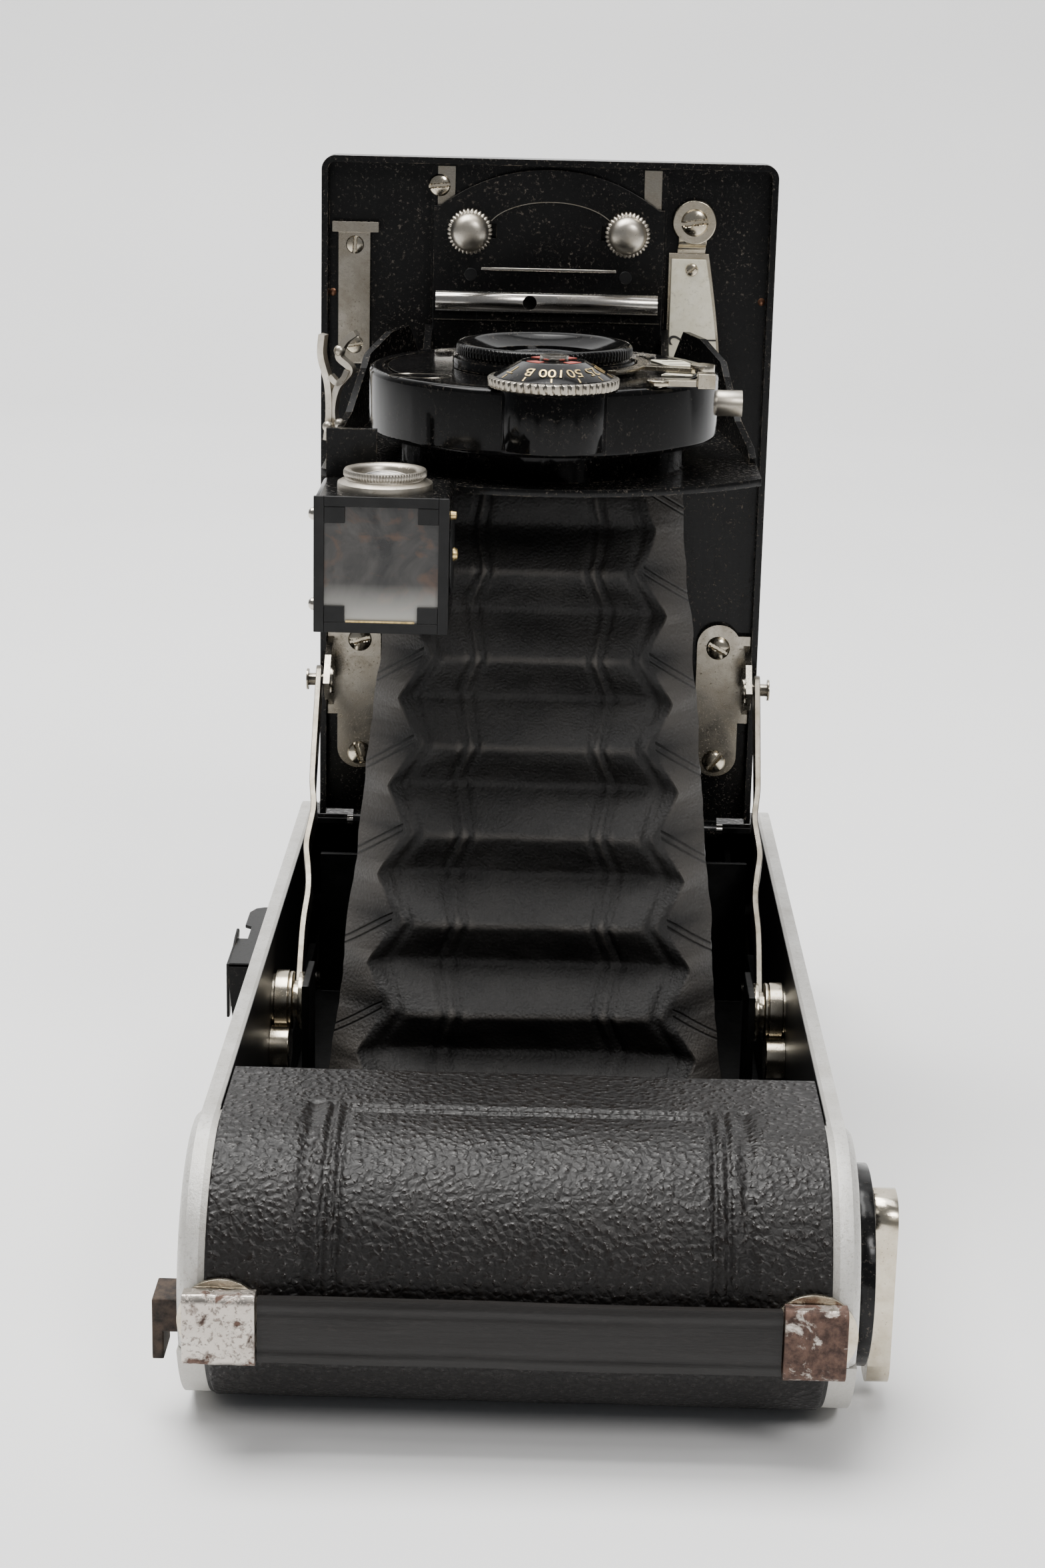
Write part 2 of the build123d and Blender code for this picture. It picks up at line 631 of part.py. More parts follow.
def finder_mirror():
    y0, y1 = FINDER_Y0 + 2.0, FINDER_Y1 - 2.0
    z0, z1 = FINDER_Z0 + 1.2, FINDER_Z1 - 2.8
    points = [(y0, z0), (y0 + 1.4, z0), (y1, z1 - 1.4), (y1, z1)]
    return side_profile(points, FINDER_X0 + 1.2, FINDER_X1 - 1.2)


# The bellows

def bellows():
    """The leather bellows as one closed tapering solid from the film gate to the lens standard."""
    base = Pos(0, GATE_Y, 6.2) * Rectangle(58.0, 92)
    front = Pos(0, LENS_Y + 8.0, PLATE_Z - 1.2) * Rectangle(39.0, 41)
    return loft([base, front])


def main():
    right_plate = side_plate_right()
    write("side_plate_left", mirrored(right_plate))
    write("side_plate_right", right_plate - key_bore())
    write("front_shell_near", end_shell(-90, OPENING_NEAR_Y, SHELL_HALF_WIDTH))
    write("front_shell_far", far_shell())
    above_hinge = block(-90, 90, 0, 90, 14, 60)
    write("end_leather", [end_skin(-90, OPENING_NEAR_Y), end_skin(62.4, 90) & above_hinge])
    write("film_gate", film_gate())
    write("film_rollers", film_rollers())
    write("spool_pins", spool_pins())
    write("strut_pins", strut_pins())
    write("hinge_pins", hinge_pins())
    write("key_washer", key_washer())
    write("side_catch", side_catch())
    write("strap", strap())
    write("strap_clips", strap_clips())
    write("strap_studs", strap_studs())
    write("bellows", bellows())
    write("feed_spool", spool(FEED_SPOOL_Y, FEED_FLANGE))
    write("take_up_spool", spool(-SPOOL_Y, TAKE_UP_FLANGE))
    write("key_shaft", key_shaft())
    write("winding_key", winding_key())
    write("back_door", back_door())
    write("back_leather", back_leather())
    write("pressure_plate", pressure_plate())
    write("pressure_spring", pressure_spring())
    write("red_window", red_window())
    write("back_latch", back_latch())
    write("bed_plate", bed_plate())
    write("bed_leather", bed_leather())
    write("track_plate", track_plate())
    write("rails", rails())
    write("bed_screws", bed_screws())
    write("bed_strip", bed_strip())
    write("distance_scale_base", distance_scale_base())
    write("distance_scale", distance_scale())
    write("strut_brackets", strut_brackets())
    write("strut_rivets", strut_rivets())
    write("strut_right", strut_right())
    write("strut_left", mirrored(strut_right()))
    write("carriage_plate", carriage_plate())
    write("carriage_knob_right", carriage_knob_right())
    write("carriage_knob_left", mirrored(carriage_knob_right()))
    write("clamp_bar", clamp_bar())
    write("standard_plate", standard_plate())
    write("spring_catch", spring_catch())
    write("shutter_body", shutter_body())
    write("lens_ring", lens_ring())
    write("front_lens", front_lens())
    write("rear_lens", rear_lens())
    write("aperture_scale", aperture_scale())
    write("aperture_lever", aperture_lever())
    write("release_lever", release_lever())
    write("shutter_screws", shutter_screws())
    write("cable_socket", cable_socket())
    write("speed_dial", speed_dial())
    write("dial_screw", dial_screw())
    write("finder_body", finder_body())
    write("finder_window", finder_window())
    write("finder_objective", finder_objective())
    write("finder_lens", finder_lens())
    write("finder_mirror", finder_mirror())


main()
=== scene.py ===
"""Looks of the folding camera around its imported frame. Metres, +Z up, the camera lies on its back."""

from math import asin, copysign, cos, exp, hypot, pi, radians, sin, sqrt

import bmesh
import bpy
from mathutils import Matrix, Vector, noise


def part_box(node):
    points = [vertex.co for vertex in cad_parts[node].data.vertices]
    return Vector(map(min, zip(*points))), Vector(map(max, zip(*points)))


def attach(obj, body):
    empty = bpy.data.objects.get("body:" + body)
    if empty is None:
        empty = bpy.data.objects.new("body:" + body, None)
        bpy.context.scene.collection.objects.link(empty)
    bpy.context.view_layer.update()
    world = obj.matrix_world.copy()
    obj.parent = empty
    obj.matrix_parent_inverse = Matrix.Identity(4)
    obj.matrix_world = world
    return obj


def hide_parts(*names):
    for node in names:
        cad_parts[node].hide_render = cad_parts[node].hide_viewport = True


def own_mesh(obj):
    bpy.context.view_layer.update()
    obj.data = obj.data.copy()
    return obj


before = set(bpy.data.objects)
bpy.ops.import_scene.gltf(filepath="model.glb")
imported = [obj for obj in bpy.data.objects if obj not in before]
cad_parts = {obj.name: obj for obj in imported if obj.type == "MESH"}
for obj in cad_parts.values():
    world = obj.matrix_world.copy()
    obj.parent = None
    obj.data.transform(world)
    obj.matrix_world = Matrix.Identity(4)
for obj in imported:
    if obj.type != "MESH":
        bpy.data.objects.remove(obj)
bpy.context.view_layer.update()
MM = 0.001
SAME_POINT = 1e-4
# Sizes are millimetres in the frame's axes, but the floor's and the lamps' are metres. The side plates'
# bare metal starts PLATE_INSIDE from the middle, with a narrow bevel. The opening starts at OPENING_START.
PLATE_INSIDE = 37.3
BARE_BEVEL = 0.45
OPENING_START = -64.5


def box_mm(node):
    """A CAD node's lowest and highest corners in millimetres."""
    low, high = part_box(node)
    return [c / MM for c in low], [c / MM for c in high]


def middle(node):
    low, high = box_mm(node)
    return [(a + b) / 2 for a, b in zip(low, high)]


# ---- materials

class Paint:
    """A Principled material with short calls for the nodes that feed it."""

    def __init__(self, name, **sockets):
        self.material = bpy.data.materials.new(name)
        self.material.use_nodes = True
        self.tree = self.material.node_tree
        self.shader = self.tree.nodes["Principled BSDF"]
        for socket, value in sockets.items():
            self.shader.inputs[socket.replace("_", " ")].default_value = value
        self.coords = self.tree.nodes.new("ShaderNodeTexCoord").outputs["Object"]

    def finish(self, colour, rough=None, normal=None, metallic=None):
        """Feeds the shader and gives the finished material."""
        feeds = {"Base Color": colour, "Roughness": rough, "Normal": normal, "Metallic": metallic}
        for socket, output in feeds.items():
            if output is not None:
                self.tree.links.new(output, self.shader.inputs[socket])
        return self.material

    def _feed(self, socket, value):
        """Links an output, or sets a number or a colour."""
        if isinstance(value, bpy.types.NodeSocket):
            self.tree.links.new(value, socket)
        elif socket.type == "RGBA":
            socket.default_value = (*value, 1) if isinstance(value, tuple) else (value, value, value, 1)
        else:
            socket.default_value = value

    def _node(self, kind, inputs):
        node = self.tree.nodes.new(kind)
        for key, value in inputs.items():
            self._feed(node.inputs[key], value)
        return node, node.outputs[0]

    def stretch(self, x, y, z):
        """The coordinates scaled along each axis, for brushed lines."""
        return self._node("ShaderNodeMapping", {"Vector": self.coords, "Scale": (x, y, z)})[1]

    def noise(self, per_mm, detail=4.0, roughness=0.55, distortion=0.0, vector=None):
        inputs = {"Vector": vector or self.coords, "Scale": per_mm / MM, "Detail": detail,
                  "Roughness": roughness, "Distortion": distortion}
        return self._node("ShaderNodeTexNoise", inputs)[1]

    def cells(self, per_mm, smooth=True):
        node = self._node("ShaderNodeTexVoronoi", {"Vector": self.coords, "Scale": per_mm / MM})[0]
        node.feature = "SMOOTH_F1" if smooth else "DISTANCE_TO_EDGE"
        return node.outputs["Distance"]

    def spots(self, low, high, *scale_and_detail, **more):
        """Noise cut off below low and full above high: patches, specks or scratches."""
        return self.ramp(self.noise(*scale_and_detail, **more), [(low, 0.0), (high, 1.0)])

    def ramp(self, value, stops):
        """Stops are (position, grey or colour)."""
        node, out = self._node("ShaderNodeValToRGB", {"Fac": value})
        ramp = node.color_ramp
        while len(ramp.elements) < len(stops):
            ramp.elements.new(0.5)
        for element, (position, colour) in zip(ramp.elements, stops):
            element.position = position
            element.color = (*colour, 1) if isinstance(colour, tuple) else (colour, colour, colour, 1)
        return out

    def mix(self, factor, a, b):
        node = self.tree.nodes.new("ShaderNodeMix")
        node.data_type = "RGBA"
        for name, value in (("Factor", factor), ("A", a), ("B", b)):
            self._feed(node.inputs[name], value)
        return node.outputs["Result"]

    def math(self, operation, *values):
        node = self.tree.nodes.new("ShaderNodeMath")
        node.operation = operation
        for socket, value in zip(node.inputs, values):
            self._feed(socket, value)
        return node.outputs[0]

    def tint(self, colour, mask, amount, other):
        """The colour with some of another where mask is bright."""
        return self.mix(self.times(mask, amount), colour, other)

    def times(self, a, b):
        return self.math("MULTIPLY", a, b)

    def plus(self, a, b):
        return self.math("ADD", a, b)

    def minus(self, a, b):
        return self.math("SUBTRACT", a, b)

    def scaled(self, value, factor, offset):
        return self.math("MULTIPLY_ADD", value, factor, offset)

    def axis(self, name):
        return self._node("ShaderNodeSeparateXYZ", {"Vector": self.coords})[0].outputs[name]

    def across(self):
        """The distance from the camera's middle plane."""
        return self.math("ABSOLUTE", self.axis("X"))

    def edge_wear(self, radius_mm):
        """Bright within radius of a sharp outer edge, found from the rounded normal."""
        rounded = self._node("ShaderNodeBevel", {"Radius": radius_mm * MM})[1]
        plain = self.tree.nodes.new("ShaderNodeNewGeometry").outputs["Normal"]
        dot = self.tree.nodes.new("ShaderNodeVectorMath")
        dot.operation = "DOT_PRODUCT"
        for socket, normal in zip(dot.inputs, (rounded, plain)):
            self.tree.links.new(normal, socket)
        return self.ramp(dot.outputs["Value"], [(0.80, 1.0), (0.97, 0.0)])

    def edges(self):
        """Bright where the surface bends outwards sharply, for worn edges."""
        node = self.tree.nodes.new("ShaderNodeNewGeometry")
        return self.ramp(node.outputs["Pointiness"], [(0.52, 0.0), (0.57, 1.0)])

    def bump(self, height, depth_mm, strength=1.0, below=None):
        inputs = {"Height": height, "Distance": depth_mm * MM, "Strength": strength}
        if below is not None:
            inputs["Normal"] = below
        return self._node("ShaderNodeBump", inputs)[1]


def worn_black(name, roughness, dust_amount, tone=(0.0025, 0.0075), wear=0.5, specular=0.18):
    """Black stoved paint: a smooth gloss, sparse dust, fine scratches and metal showing at its edges."""
    p = Paint(name, Roughness=roughness, Specular_IOR_Level=specular)
    colour = p.ramp(p.noise(0.06, 5), [(0.3, tone[0]), (0.75, tone[1])])
    dust = p.spots(0.57, 0.66, 1.7, 8, 0.78)
    patches = p.ramp(p.noise(0.11, 4), [(0.38, 0.12), (0.62, 1.0)])
    dirt = p.times(p.times(dust, patches), dust_amount)
    colour = p.mix(dirt, colour, (0.19, 0.16, 0.13))
    chips = p.times(p.edge_wear(0.22), p.spots(0.5, 0.62, 0.8, 6, 0.7))
    colour = p.tint(colour, chips, wear, (0.30, 0.25, 0.19))
    scratch = p.spots(0.55, 0.78, 2.4, 3, 0.6, vector=p.stretch(1.0, 1.0, 0.06))
    rough = p.scaled(scratch, 0.10, roughness)
    rough = p.plus(rough, p.times(dirt, 0.8))
    return p.finish(colour, rough, p.bump(p.plus(p.noise(0.7, 5), dirt), 0.015, 0.35))


def nickel(name="old_nickel", warm=0.0, pits=0.5, shade=1.0, satin=0.10):
    """Nickel plate that has yellowed, with fine brushing, thin grime and small pits."""
    p = Paint(name, Metallic=1.0, Roughness=0.22)
    clean = (0.62, 0.585 - 0.02 * warm, 0.53 - 0.07 * warm)
    dull = (0.45, 0.41 - 0.02 * warm, 0.35 - 0.06 * warm)
    cloud = p.spots(0.35, 0.7, 0.35, 6, 0.62)
    clean, dull = (tuple(c * shade for c in tone) for tone in (clean, dull))
    colour = p.mix(cloud, clean, dull)
    grime = p.spots(0.60, 0.70, 2.6, 7, 0.72)
    colour = p.tint(colour, grime, pits, (0.12, 0.085, 0.055))
    brushing = p.noise(4.5, 3, 0.6, vector=p.stretch(1.0, 0.06, 1.0))
    rough = p.plus(p.times(cloud, 0.12), p.times(grime, 0.3 * pits))
    rough = p.plus(rough, p.plus(p.times(brushing, 0.12), satin))
    return p.finish(colour, rough, p.bump(p.minus(brushing, grime), 0.008, 0.5))


def rusty(name, amount, low=(0.035, 0.018, 0.013), high=(0.13, 0.075, 0.055)):
    """Thin nickel over steel that has rusted through in patches."""
    p = Paint(name, Metallic=1.0, Roughness=0.4)
    patch = p.ramp(p.noise(0.28, 8, 0.68, 0.4), [(0.62 - amount, 0.0), (0.70 - amount, 1.0)])
    speckle = p.spots(0.55, 0.62, 1.7, 6, 0.7)
    rust_tone = p.mix(p.spots(0.38, 0.62, 0.7, 7, 0.7), low, high)
    plate = p.mix(p.noise(0.25, 5), (0.58, 0.55, 0.50), (0.44, 0.38, 0.33))
    mask = p.math("MAXIMUM", patch, p.times(speckle, 0.55))
    return p.finish(p.mix(mask, plate, rust_tone),
                    p.scaled(mask, 0.4, 0.3),
                    p.bump(p.plus(mask, p.noise(2.2, 6)), 0.05, 0.7),
                    p.scaled(mask, -0.6, 1.0))


def aluminium():
    """Pale sandblasted casting: grit, specks and stains, dull at its inner bevel and blackened inside."""
    p = Paint("cast_aluminium", Metallic=0.55, Roughness=0.5)
    grit = p.noise(3.2, 6, 0.75)
    base = p.mix(p.spots(0.35, 0.7, 0.13, 6), (0.66, 0.65, 0.62), (0.50, 0.485, 0.45))
    specks = p.spots(0.53, 0.61, 1.9, 8, 0.85)
    base = p.tint(base, specks, 0.6, (0.27, 0.25, 0.215))
    stain = p.spots(0.58, 0.72, 0.3, 8, 0.75)
    base = p.tint(base, stain, 0.4, (0.27, 0.22, 0.16))
    inner = p.math("LESS_THAN", p.across(), PLATE_INSIDE * MM)
    inner = p.times(inner, p.math("GREATER_THAN", p.axis("Y"), OPENING_START * MM))
    rim = p.math("LESS_THAN", p.across(), (PLATE_INSIDE + BARE_BEVEL) * MM)
    base = p.tint(base, rim, 0.45, (0.16, 0.145, 0.12))
    return p.finish(p.mix(inner, base, (0.004, 0.0038, 0.0036)),
                    p.scaled(grit, 0.3, 0.25),
                    p.bump(grit, 0.09, 0.9, p.bump(p.noise(0.5, 5), 0.08, 0.4)),
                    p.scaled(inner, -0.55, 0.55))


def grain_leather():
    """Black leather cloth with a raised pebble grain, worn shiny on the high spots."""
    grain, depth = 1.3, 0.17
    p = Paint("grained_leather", Roughness=0.42, Specular_IOR_Level=0.34)
    pebble = p.cells(grain, True)
    crack = p.cells(grain * 0.9, False)
    fine = p.noise(3.0, 6, 0.65)
    height = p.minus(p.times(fine, 0.22), p.ramp(pebble, [(0.05, 0.0), (0.62, 1.0)]))
    height = p.plus(height, p.times(p.ramp(crack, [(0.0, 0.0), (0.22, 1.0)]), 0.22))
    high = p.ramp(pebble, [(0.12, 1.0), (0.45, 0.0)])
    tone = p.mix(high, (0.0026, 0.0019, 0.0016), (0.0085, 0.0066, 0.0056))
    dusty = p.spots(0.42, 0.75, 0.09, 5)
    tone = p.tint(tone, dusty, 0.2, (0.022, 0.018, 0.0155))
    return p.finish(tone, p.minus(0.5, p.times(high, 0.27)), p.bump(height, depth, 0.9))


def bellows_creases(p):
    """Double creases that run down and outwards at the two near corners, a pair to each pleat, for their
    dents and the painted shade in them.
    """
    pitch, fall, gap, half_width = 11.32, 0.7, 0.04, 0.02
    taper_x, strip_start = 0.0936, 23.0
    taper_y, strip_end = 0.385, -36.6
    first = 28.02
    across, up = p.across(), p.axis("Z")
    along = p.plus(p.times(up, 1 + fall * taper_x), p.times(across, fall))
    turn = p.math("FRACT", p.scaled(along, 1 / (pitch * MM), 0.5 - gap - first / pitch))
    off = p.math("ABSOLUTE", p.minus(turn, 0.5))
    crease = p.ramp(p.math("ABSOLUTE", p.minus(off, gap)), [(0.0, 1.0), (half_width, 0.0)])
    strip = p.math("GREATER_THAN", p.plus(across, p.times(up, taper_x)), strip_start * MM)
    near = p.math("LESS_THAN", p.minus(p.axis("Y"), p.times(up, taper_y)), strip_end * MM)
    return p.times(crease, p.times(strip, near))


def bellows_leather():
    """Thin black bellows leather: fine grain, greyed and scuffed along the folds, with painted shade
    darkening its creases.
    """
    p = Paint("bellows_leather", Roughness=0.5, Specular_IOR_Level=0.32)
    fine = p.noise(2.6, 7, 0.7)
    cell = p.cells(2.4)
    cloud = p.spots(0.35, 0.72, 0.14, 6, 0.6)
    tone = p.mix(cloud, (0.0042, 0.0038, 0.0036), (0.014, 0.0128, 0.0118))
    fold = p.times(p.edges(), 0.4)
    tone = p.mix(fold, tone, (0.12, 0.108, 0.095))
    fluff = p.spots(0.62, 0.72, 1.2, 7, 0.75)
    crease = bellows_creases(p)
    # Painted shade: the creases are darkened almost to black.
    tone = p.tint(tone, crease, 0.8, (0.0015, 0.0013, 0.0012))
    tone = p.tint(tone, fluff, 0.22, (0.19, 0.175, 0.155))
    height = p.plus(p.times(fine, 1.4), cell)
    height = p.minus(height, p.times(crease, 2.5))
    return p.finish(tone, p.ramp(fine, [(0.3, 0.30), (0.7, 0.58)]), p.bump(height, 0.11, 0.9))


def strap_leather():
    """Smooth leather with fine lengthwise lines and rubbed cracks."""
    p = Paint("strap_leather", Roughness=0.45, Specular_IOR_Level=0.3)
    lines = p.noise(0.9, 5, 0.6, vector=p.stretch(0.05, 1.0, 1.6))
    cracks = p.noise(1.5, 7, 0.7, vector=p.stretch(0.35, 1.0, 1.0))
    tone = p.mix(lines, (0.0045, 0.004, 0.0037), (0.0125, 0.0108, 0.0098))
    rubbed = p.ramp(cracks, [(0.55, 0.0), (0.7, 1.0)])
    return p.finish(p.tint(tone, rubbed, 0.25, (0.035, 0.029, 0.025)),
                    p.scaled(lines, 0.35, 0.3),
                    p.bump(p.plus(lines, cracks), 0.10, 0.7))


def ivory():
    """The distance plate: cream enamel with grime."""
    p = Paint("ivory_plate", Roughness=0.38, Coat_Weight=0.2, Coat_Roughness=0.1)
    cloud = p.spots(0.35, 0.7, 0.5, 6, 0.65)
    tone = p.mix(cloud, (0.84, 0.80, 0.66), (0.70, 0.65, 0.49))
    grime = p.spots(0.58, 0.72, 2.0, 7, 0.7)
    return p.finish(p.tint(tone, grime, 0.5, (0.14, 0.11, 0.075)),
                    p.scaled(grime, 0.2, 0.3),
                    p.bump(p.noise(1.6, 5), 0.01, 0.4))


def cast_back():
    """The back's casting: blackened between its end caps, bare and gritty on them."""
    p = Paint("cast_back", Metallic=0.2, Roughness=0.5)
    bare = p.math("GREATER_THAN", p.across(), (PLATE_INSIDE - 0.1) * MM)
    grit = p.noise(3.2, 6, 0.75)
    metal = p.mix(grit, (0.60, 0.585, 0.55), (0.34, 0.325, 0.29))
    black = p.mix(p.noise(0.4, 6), (0.004, 0.004, 0.004), (0.014, 0.013, 0.012))
    return p.finish(p.mix(bare, black, metal),
                    p.scaled(grit, 0.25, 0.35),
                    p.bump(grit, 0.04, 0.7))


def satin_black():
    """Plain matt black paint for inner parts."""
    p = Paint("satin_black", Roughness=0.4, Specular_IOR_Level=0.3)
    return p.finish(p.ramp(p.noise(0.4, 6), [(0.3, 0.003), (0.75, 0.010)]),
                    p.scaled(p.noise(1.0, 5), 0.3, 0.3),
                    p.bump(p.noise(1.8, 5), 0.02, 0.5))


def brass_gold(name="gilt", colour=(0.78, 0.58, 0.26)):
    """Dulled brass, gilt or copper."""
    p = Paint(name, Metallic=0.9, Roughness=0.35)
    dark = tuple(c * 0.45 for c in colour)
    return p.finish(p.mix(p.spots(0.4, 0.7, 1.5, 6), colour, dark),
                    None,
                    p.bump(p.noise(3.0, 4), 0.01, 0.4))


def flat_paint(name, colour):
    """Matt ink or paint for marks."""
    p = Paint(name)
    dark = tuple(c * 0.6 for c in colour)
    return p.finish(p.mix(p.spots(0.4, 0.75, 1.8, 5), colour, dark),
                    None,
                    p.bump(p.noise(3.0, 4), 0.008, 0.3))


def clear_glass():
    """A lens seen through, with dust on it."""
    p = Paint("lens_glass", Roughness=0.03, Coat_Weight=1.0, Coat_Roughness=0.02,
              Transmission_Weight=0.85, IOR=1.52)
    tone = p.mix(p.spots(0.5, 0.75, 0.8, 6), (0.93, 0.95, 0.98), (0.75, 0.76, 0.78))
    return p.finish(tone, p.ramp(p.noise(2.2, 7, 0.7), [(0.55, 0.02), (0.75, 0.16)]))


def front_glass():
    """Looking into the lens: dark, coated by dust, with the room's reflection on its face."""
    p = Paint("front_glass", Roughness=0.04, Coat_Weight=1.0, Coat_Roughness=0.02, Specular_IOR_Level=0.9)
    tone = p.mix(p.spots(0.45, 0.75, 0.9, 6), (0.012, 0.014, 0.02), (0.05, 0.05, 0.055))
    return p.finish(tone, p.ramp(p.noise(2.2, 7, 0.7), [(0.55, 0.02), (0.75, 0.2)]))


def ground_glass():
    """The finder's window: greyed glass with dust and a stain, and painted light brightening its lower
    part.
    """
    p = Paint("finder_glass", Roughness=0.12, Coat_Weight=0.25, Coat_Roughness=0.05,
              Specular_IOR_Level=0.35)
    haze = p.spots(0.38, 0.68, 0.12, 5, 0.6, 1.0)
    # Painted light: below this height the window's colour is made pale, as if lit.
    low = p.ramp(p.times(p.axis("Z"), 10.0), [(0.875, 1.0), (0.93, 0.0)])
    shade = p.mix(haze, (0.010, 0.010, 0.010), (0.062, 0.058, 0.054))
    stain = p.spots(0.55, 0.7, 0.2, 4, 0.5, 2.0)
    shade = p.tint(shade, stain, 0.5, (0.11, 0.055, 0.03))
    return p.finish(p.tint(shade, low, 0.8, (0.55, 0.54, 0.5)),
                    p.ramp(p.noise(2.0, 6), [(0.4, 0.08), (0.8, 0.3)]))


def mirror_metal():
    """The finder's silvered mirror, spotted with age."""
    p = Paint("mirror_silver", Metallic=1.0, Roughness=0.06)
    tone = p.mix(p.spots(0.5, 0.8, 0.7, 6), (0.82, 0.82, 0.80), (0.5, 0.47, 0.4))
    return p.finish(tone, p.ramp(p.noise(1.4, 6), [(0.45, 0.04), (0.8, 0.25)]))


def red_glass():
    """The back's red window."""
    p = Paint("red_glass", Roughness=0.08, Coat_Weight=0.8, Coat_Roughness=0.1, Transmission_Weight=0.6)
    return p.finish(p.mix(p.noise(0.8, 5), (0.35, 0.008, 0.006), (0.6, 0.02, 0.012)))


ENAMEL = worn_black("black_enamel", 0.2, 0.9)
LACQUER = worn_black("shutter_lacquer", 0.1, 0.4, (0.0015, 0.004), 0.6, 0.14)
NICKEL = nickel()
BRIGHT = nickel("bright_nickel", -0.3, 0.25)
WARM_NICKEL = nickel("warm_nickel", 1.0, 0.7)
SATIN_NICKEL = nickel("satin_nickel", 0.4, 0.9, 0.85, 0.26)
DULL_NICKEL = nickel("dull_nickel", 0.6, 1.0, 0.6)
# A darkened copy of the nickel for the struts: painted shade in place of the dark surroundings they
# reflect.
STRUT_NICKEL_PAINTED_SHADE = nickel("strut_nickel_painted_shade", 0.8, 1.0, 0.24, 0.2)
CATCH_BLACK = worn_black("catch_black", 0.34, 0.15, (0.0025, 0.006), 0.35, 0.12)
RUSTY_LEFT = rusty("clip_worn", 0.09)
RUSTY_RIGHT = rusty("clip_rusty", 0.27)
LATCH_IRON = rusty("dark_iron", 0.40, (0.012, 0.009, 0.007), (0.06, 0.04, 0.028))
ALUMINIUM = aluminium()
LEATHER = grain_leather()
BELLOWS = bellows_leather()
STRAP = strap_leather()
IVORY = ivory()
SATIN = satin_black()
CAST_BACK = cast_back()
GILT = brass_gold()
COPPER = brass_gold("copper_rivet", (0.30, 0.15, 0.09))
INK = flat_paint("scale_ink", (0.03, 0.028, 0.025))
RED_INK = flat_paint("red_marks", (0.40, 0.05, 0.03))
GLASS = clear_glass()
FRONT_GLASS = front_glass()
FINDER_GLASS = ground_glass()
MIRROR = mirror_metal()
RED_GLASS = red_glass()


# ---- mesh helpers

def uneven(x, y, z):
    """Smooth noise between about -1 and 1."""
    return noise.noise(Vector((x, y, z)))


def spread(start, end, steps):
    """Evenly spaced values from start to end."""
    return [start + (end - start) * k / steps for k in range(steps + 1)]


def groove(distance, width):
    """1 in the middle of a line, falling to 0 away from it."""
    return exp(-(distance / width) ** 2)


def smooth_mesh(name, bm):
    mesh = bpy.data.meshes.new(name)
    bm.to_mesh(mesh)
    bm.free()
    mesh.shade_smooth()
    return mesh


def add_object(name, data):
    piece = bpy.data.objects.new(name, data)
    bpy.context.scene.collection.objects.link(piece)
    return piece


def put(name, bm, material, slot, body, *stands_for, bevel=0.0, angle=32):
    """A bmesh drawn in millimetres becomes a named piece on a CAD body, in place of CAD nodes."""
    bmesh.ops.recalc_face_normals(bm, faces=bm.faces)
    bmesh.ops.scale(bm, vec=(MM, MM, MM), verts=bm.verts)
    mesh = smooth_mesh(name, bm)
    mesh.set_sharp_from_angle(angle=radians(angle))
    mesh.materials.append(material)
    piece = add_object(name, mesh)
    if bevel:
        add_bevel(piece, bevel)
    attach(piece, body)
    if stands_for:
        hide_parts(*stands_for)
    return piece


def add_bevel(piece, width):
    modifier = piece.modifiers.new("Bevel", "BEVEL")
    modifier.width = width * MM
    modifier.segments = 2
    modifier.limit_method = "ANGLE"
    modifier.angle_limit = radians(40)
    modifier.harden_normals = True
    modifier.use_clamp_overlap = True


def lathe(profile, steps=96, centre=(0, 0, 0), axis="Z", flip=False, bump=None):
    """Turns (radius, height) points round an axis through centre. bump(angle, i) adds to a radius."""
    bm = bmesh.new()
    rings = []
    for k in range(steps):
        turn = 2 * pi * k / steps
        ring = []
        for i, (radius, height) in enumerate(profile):
            r = radius + (bump(turn, i) if bump else 0.0)
            ring.append(bm.verts.new((r * cos(turn), r * sin(turn), height)))
        rings.append(ring)
    for k in range(steps):
        a, b = rings[k], rings[(k + 1) % steps]
        for i in range(len(profile) - 1):
            if max(profile[i][0], profile[i + 1][0]) < SAME_POINT:
                continue
            bm.faces.new((a[i], b[i], b[i + 1], a[i + 1]))
    bmesh.ops.remove_doubles(bm, verts=bm.verts, dist=SAME_POINT)
    place(bm, centre, axis, flip)
    return bm


def turned(form, steps, axis, flip, *centres):
    """The same lathe form at several places."""
    return merged(*[lathe(form, steps, centre, axis, flip) for centre in centres])


def sheet(bm, rows):
    """Joins equal open rows of vertices one after another."""
    for a, b in zip(rows, rows[1:]):
        for k in range(len(a) - 1):
            bm.faces.new((a[k], a[k + 1], b[k + 1], b[k]))
    return bm


def tube(bm, rings, capped=True):
    """Joins closed rings of vertices one after another, and closes both ends."""
    for a, b in zip(rings, rings[1:]):
        for k in range(len(a)):
            j = (k + 1) % len(a)
            bm.faces.new((a[k], a[j], b[j], b[k]))
    if capped:
        bm.faces.new(rings[0])
        bm.faces.new(rings[-1])
    return bm


def place(bm, centre, axis="Z", flip=False):
    """Points a form drawn along +Z along another axis and moves it to centre."""
    turn = {"Z": Matrix.Identity(4), "Y": Matrix.Rotation(-pi / 2, 4, "X"),
            "X": Matrix.Rotation(pi / 2, 4, "Y")}[axis]
    if flip:
        turn = turn @ Matrix.Rotation(pi, 4, "X")
    bm.transform(Matrix.Translation(centre) @ turn)


def slab(outline, low, high):
    """A flat outline of (x, y) points between two heights."""
    bm = bmesh.new()
    return tube(bm, [[bm.verts.new((x, y, z)) for x, y in outline] for z in (low, high)])


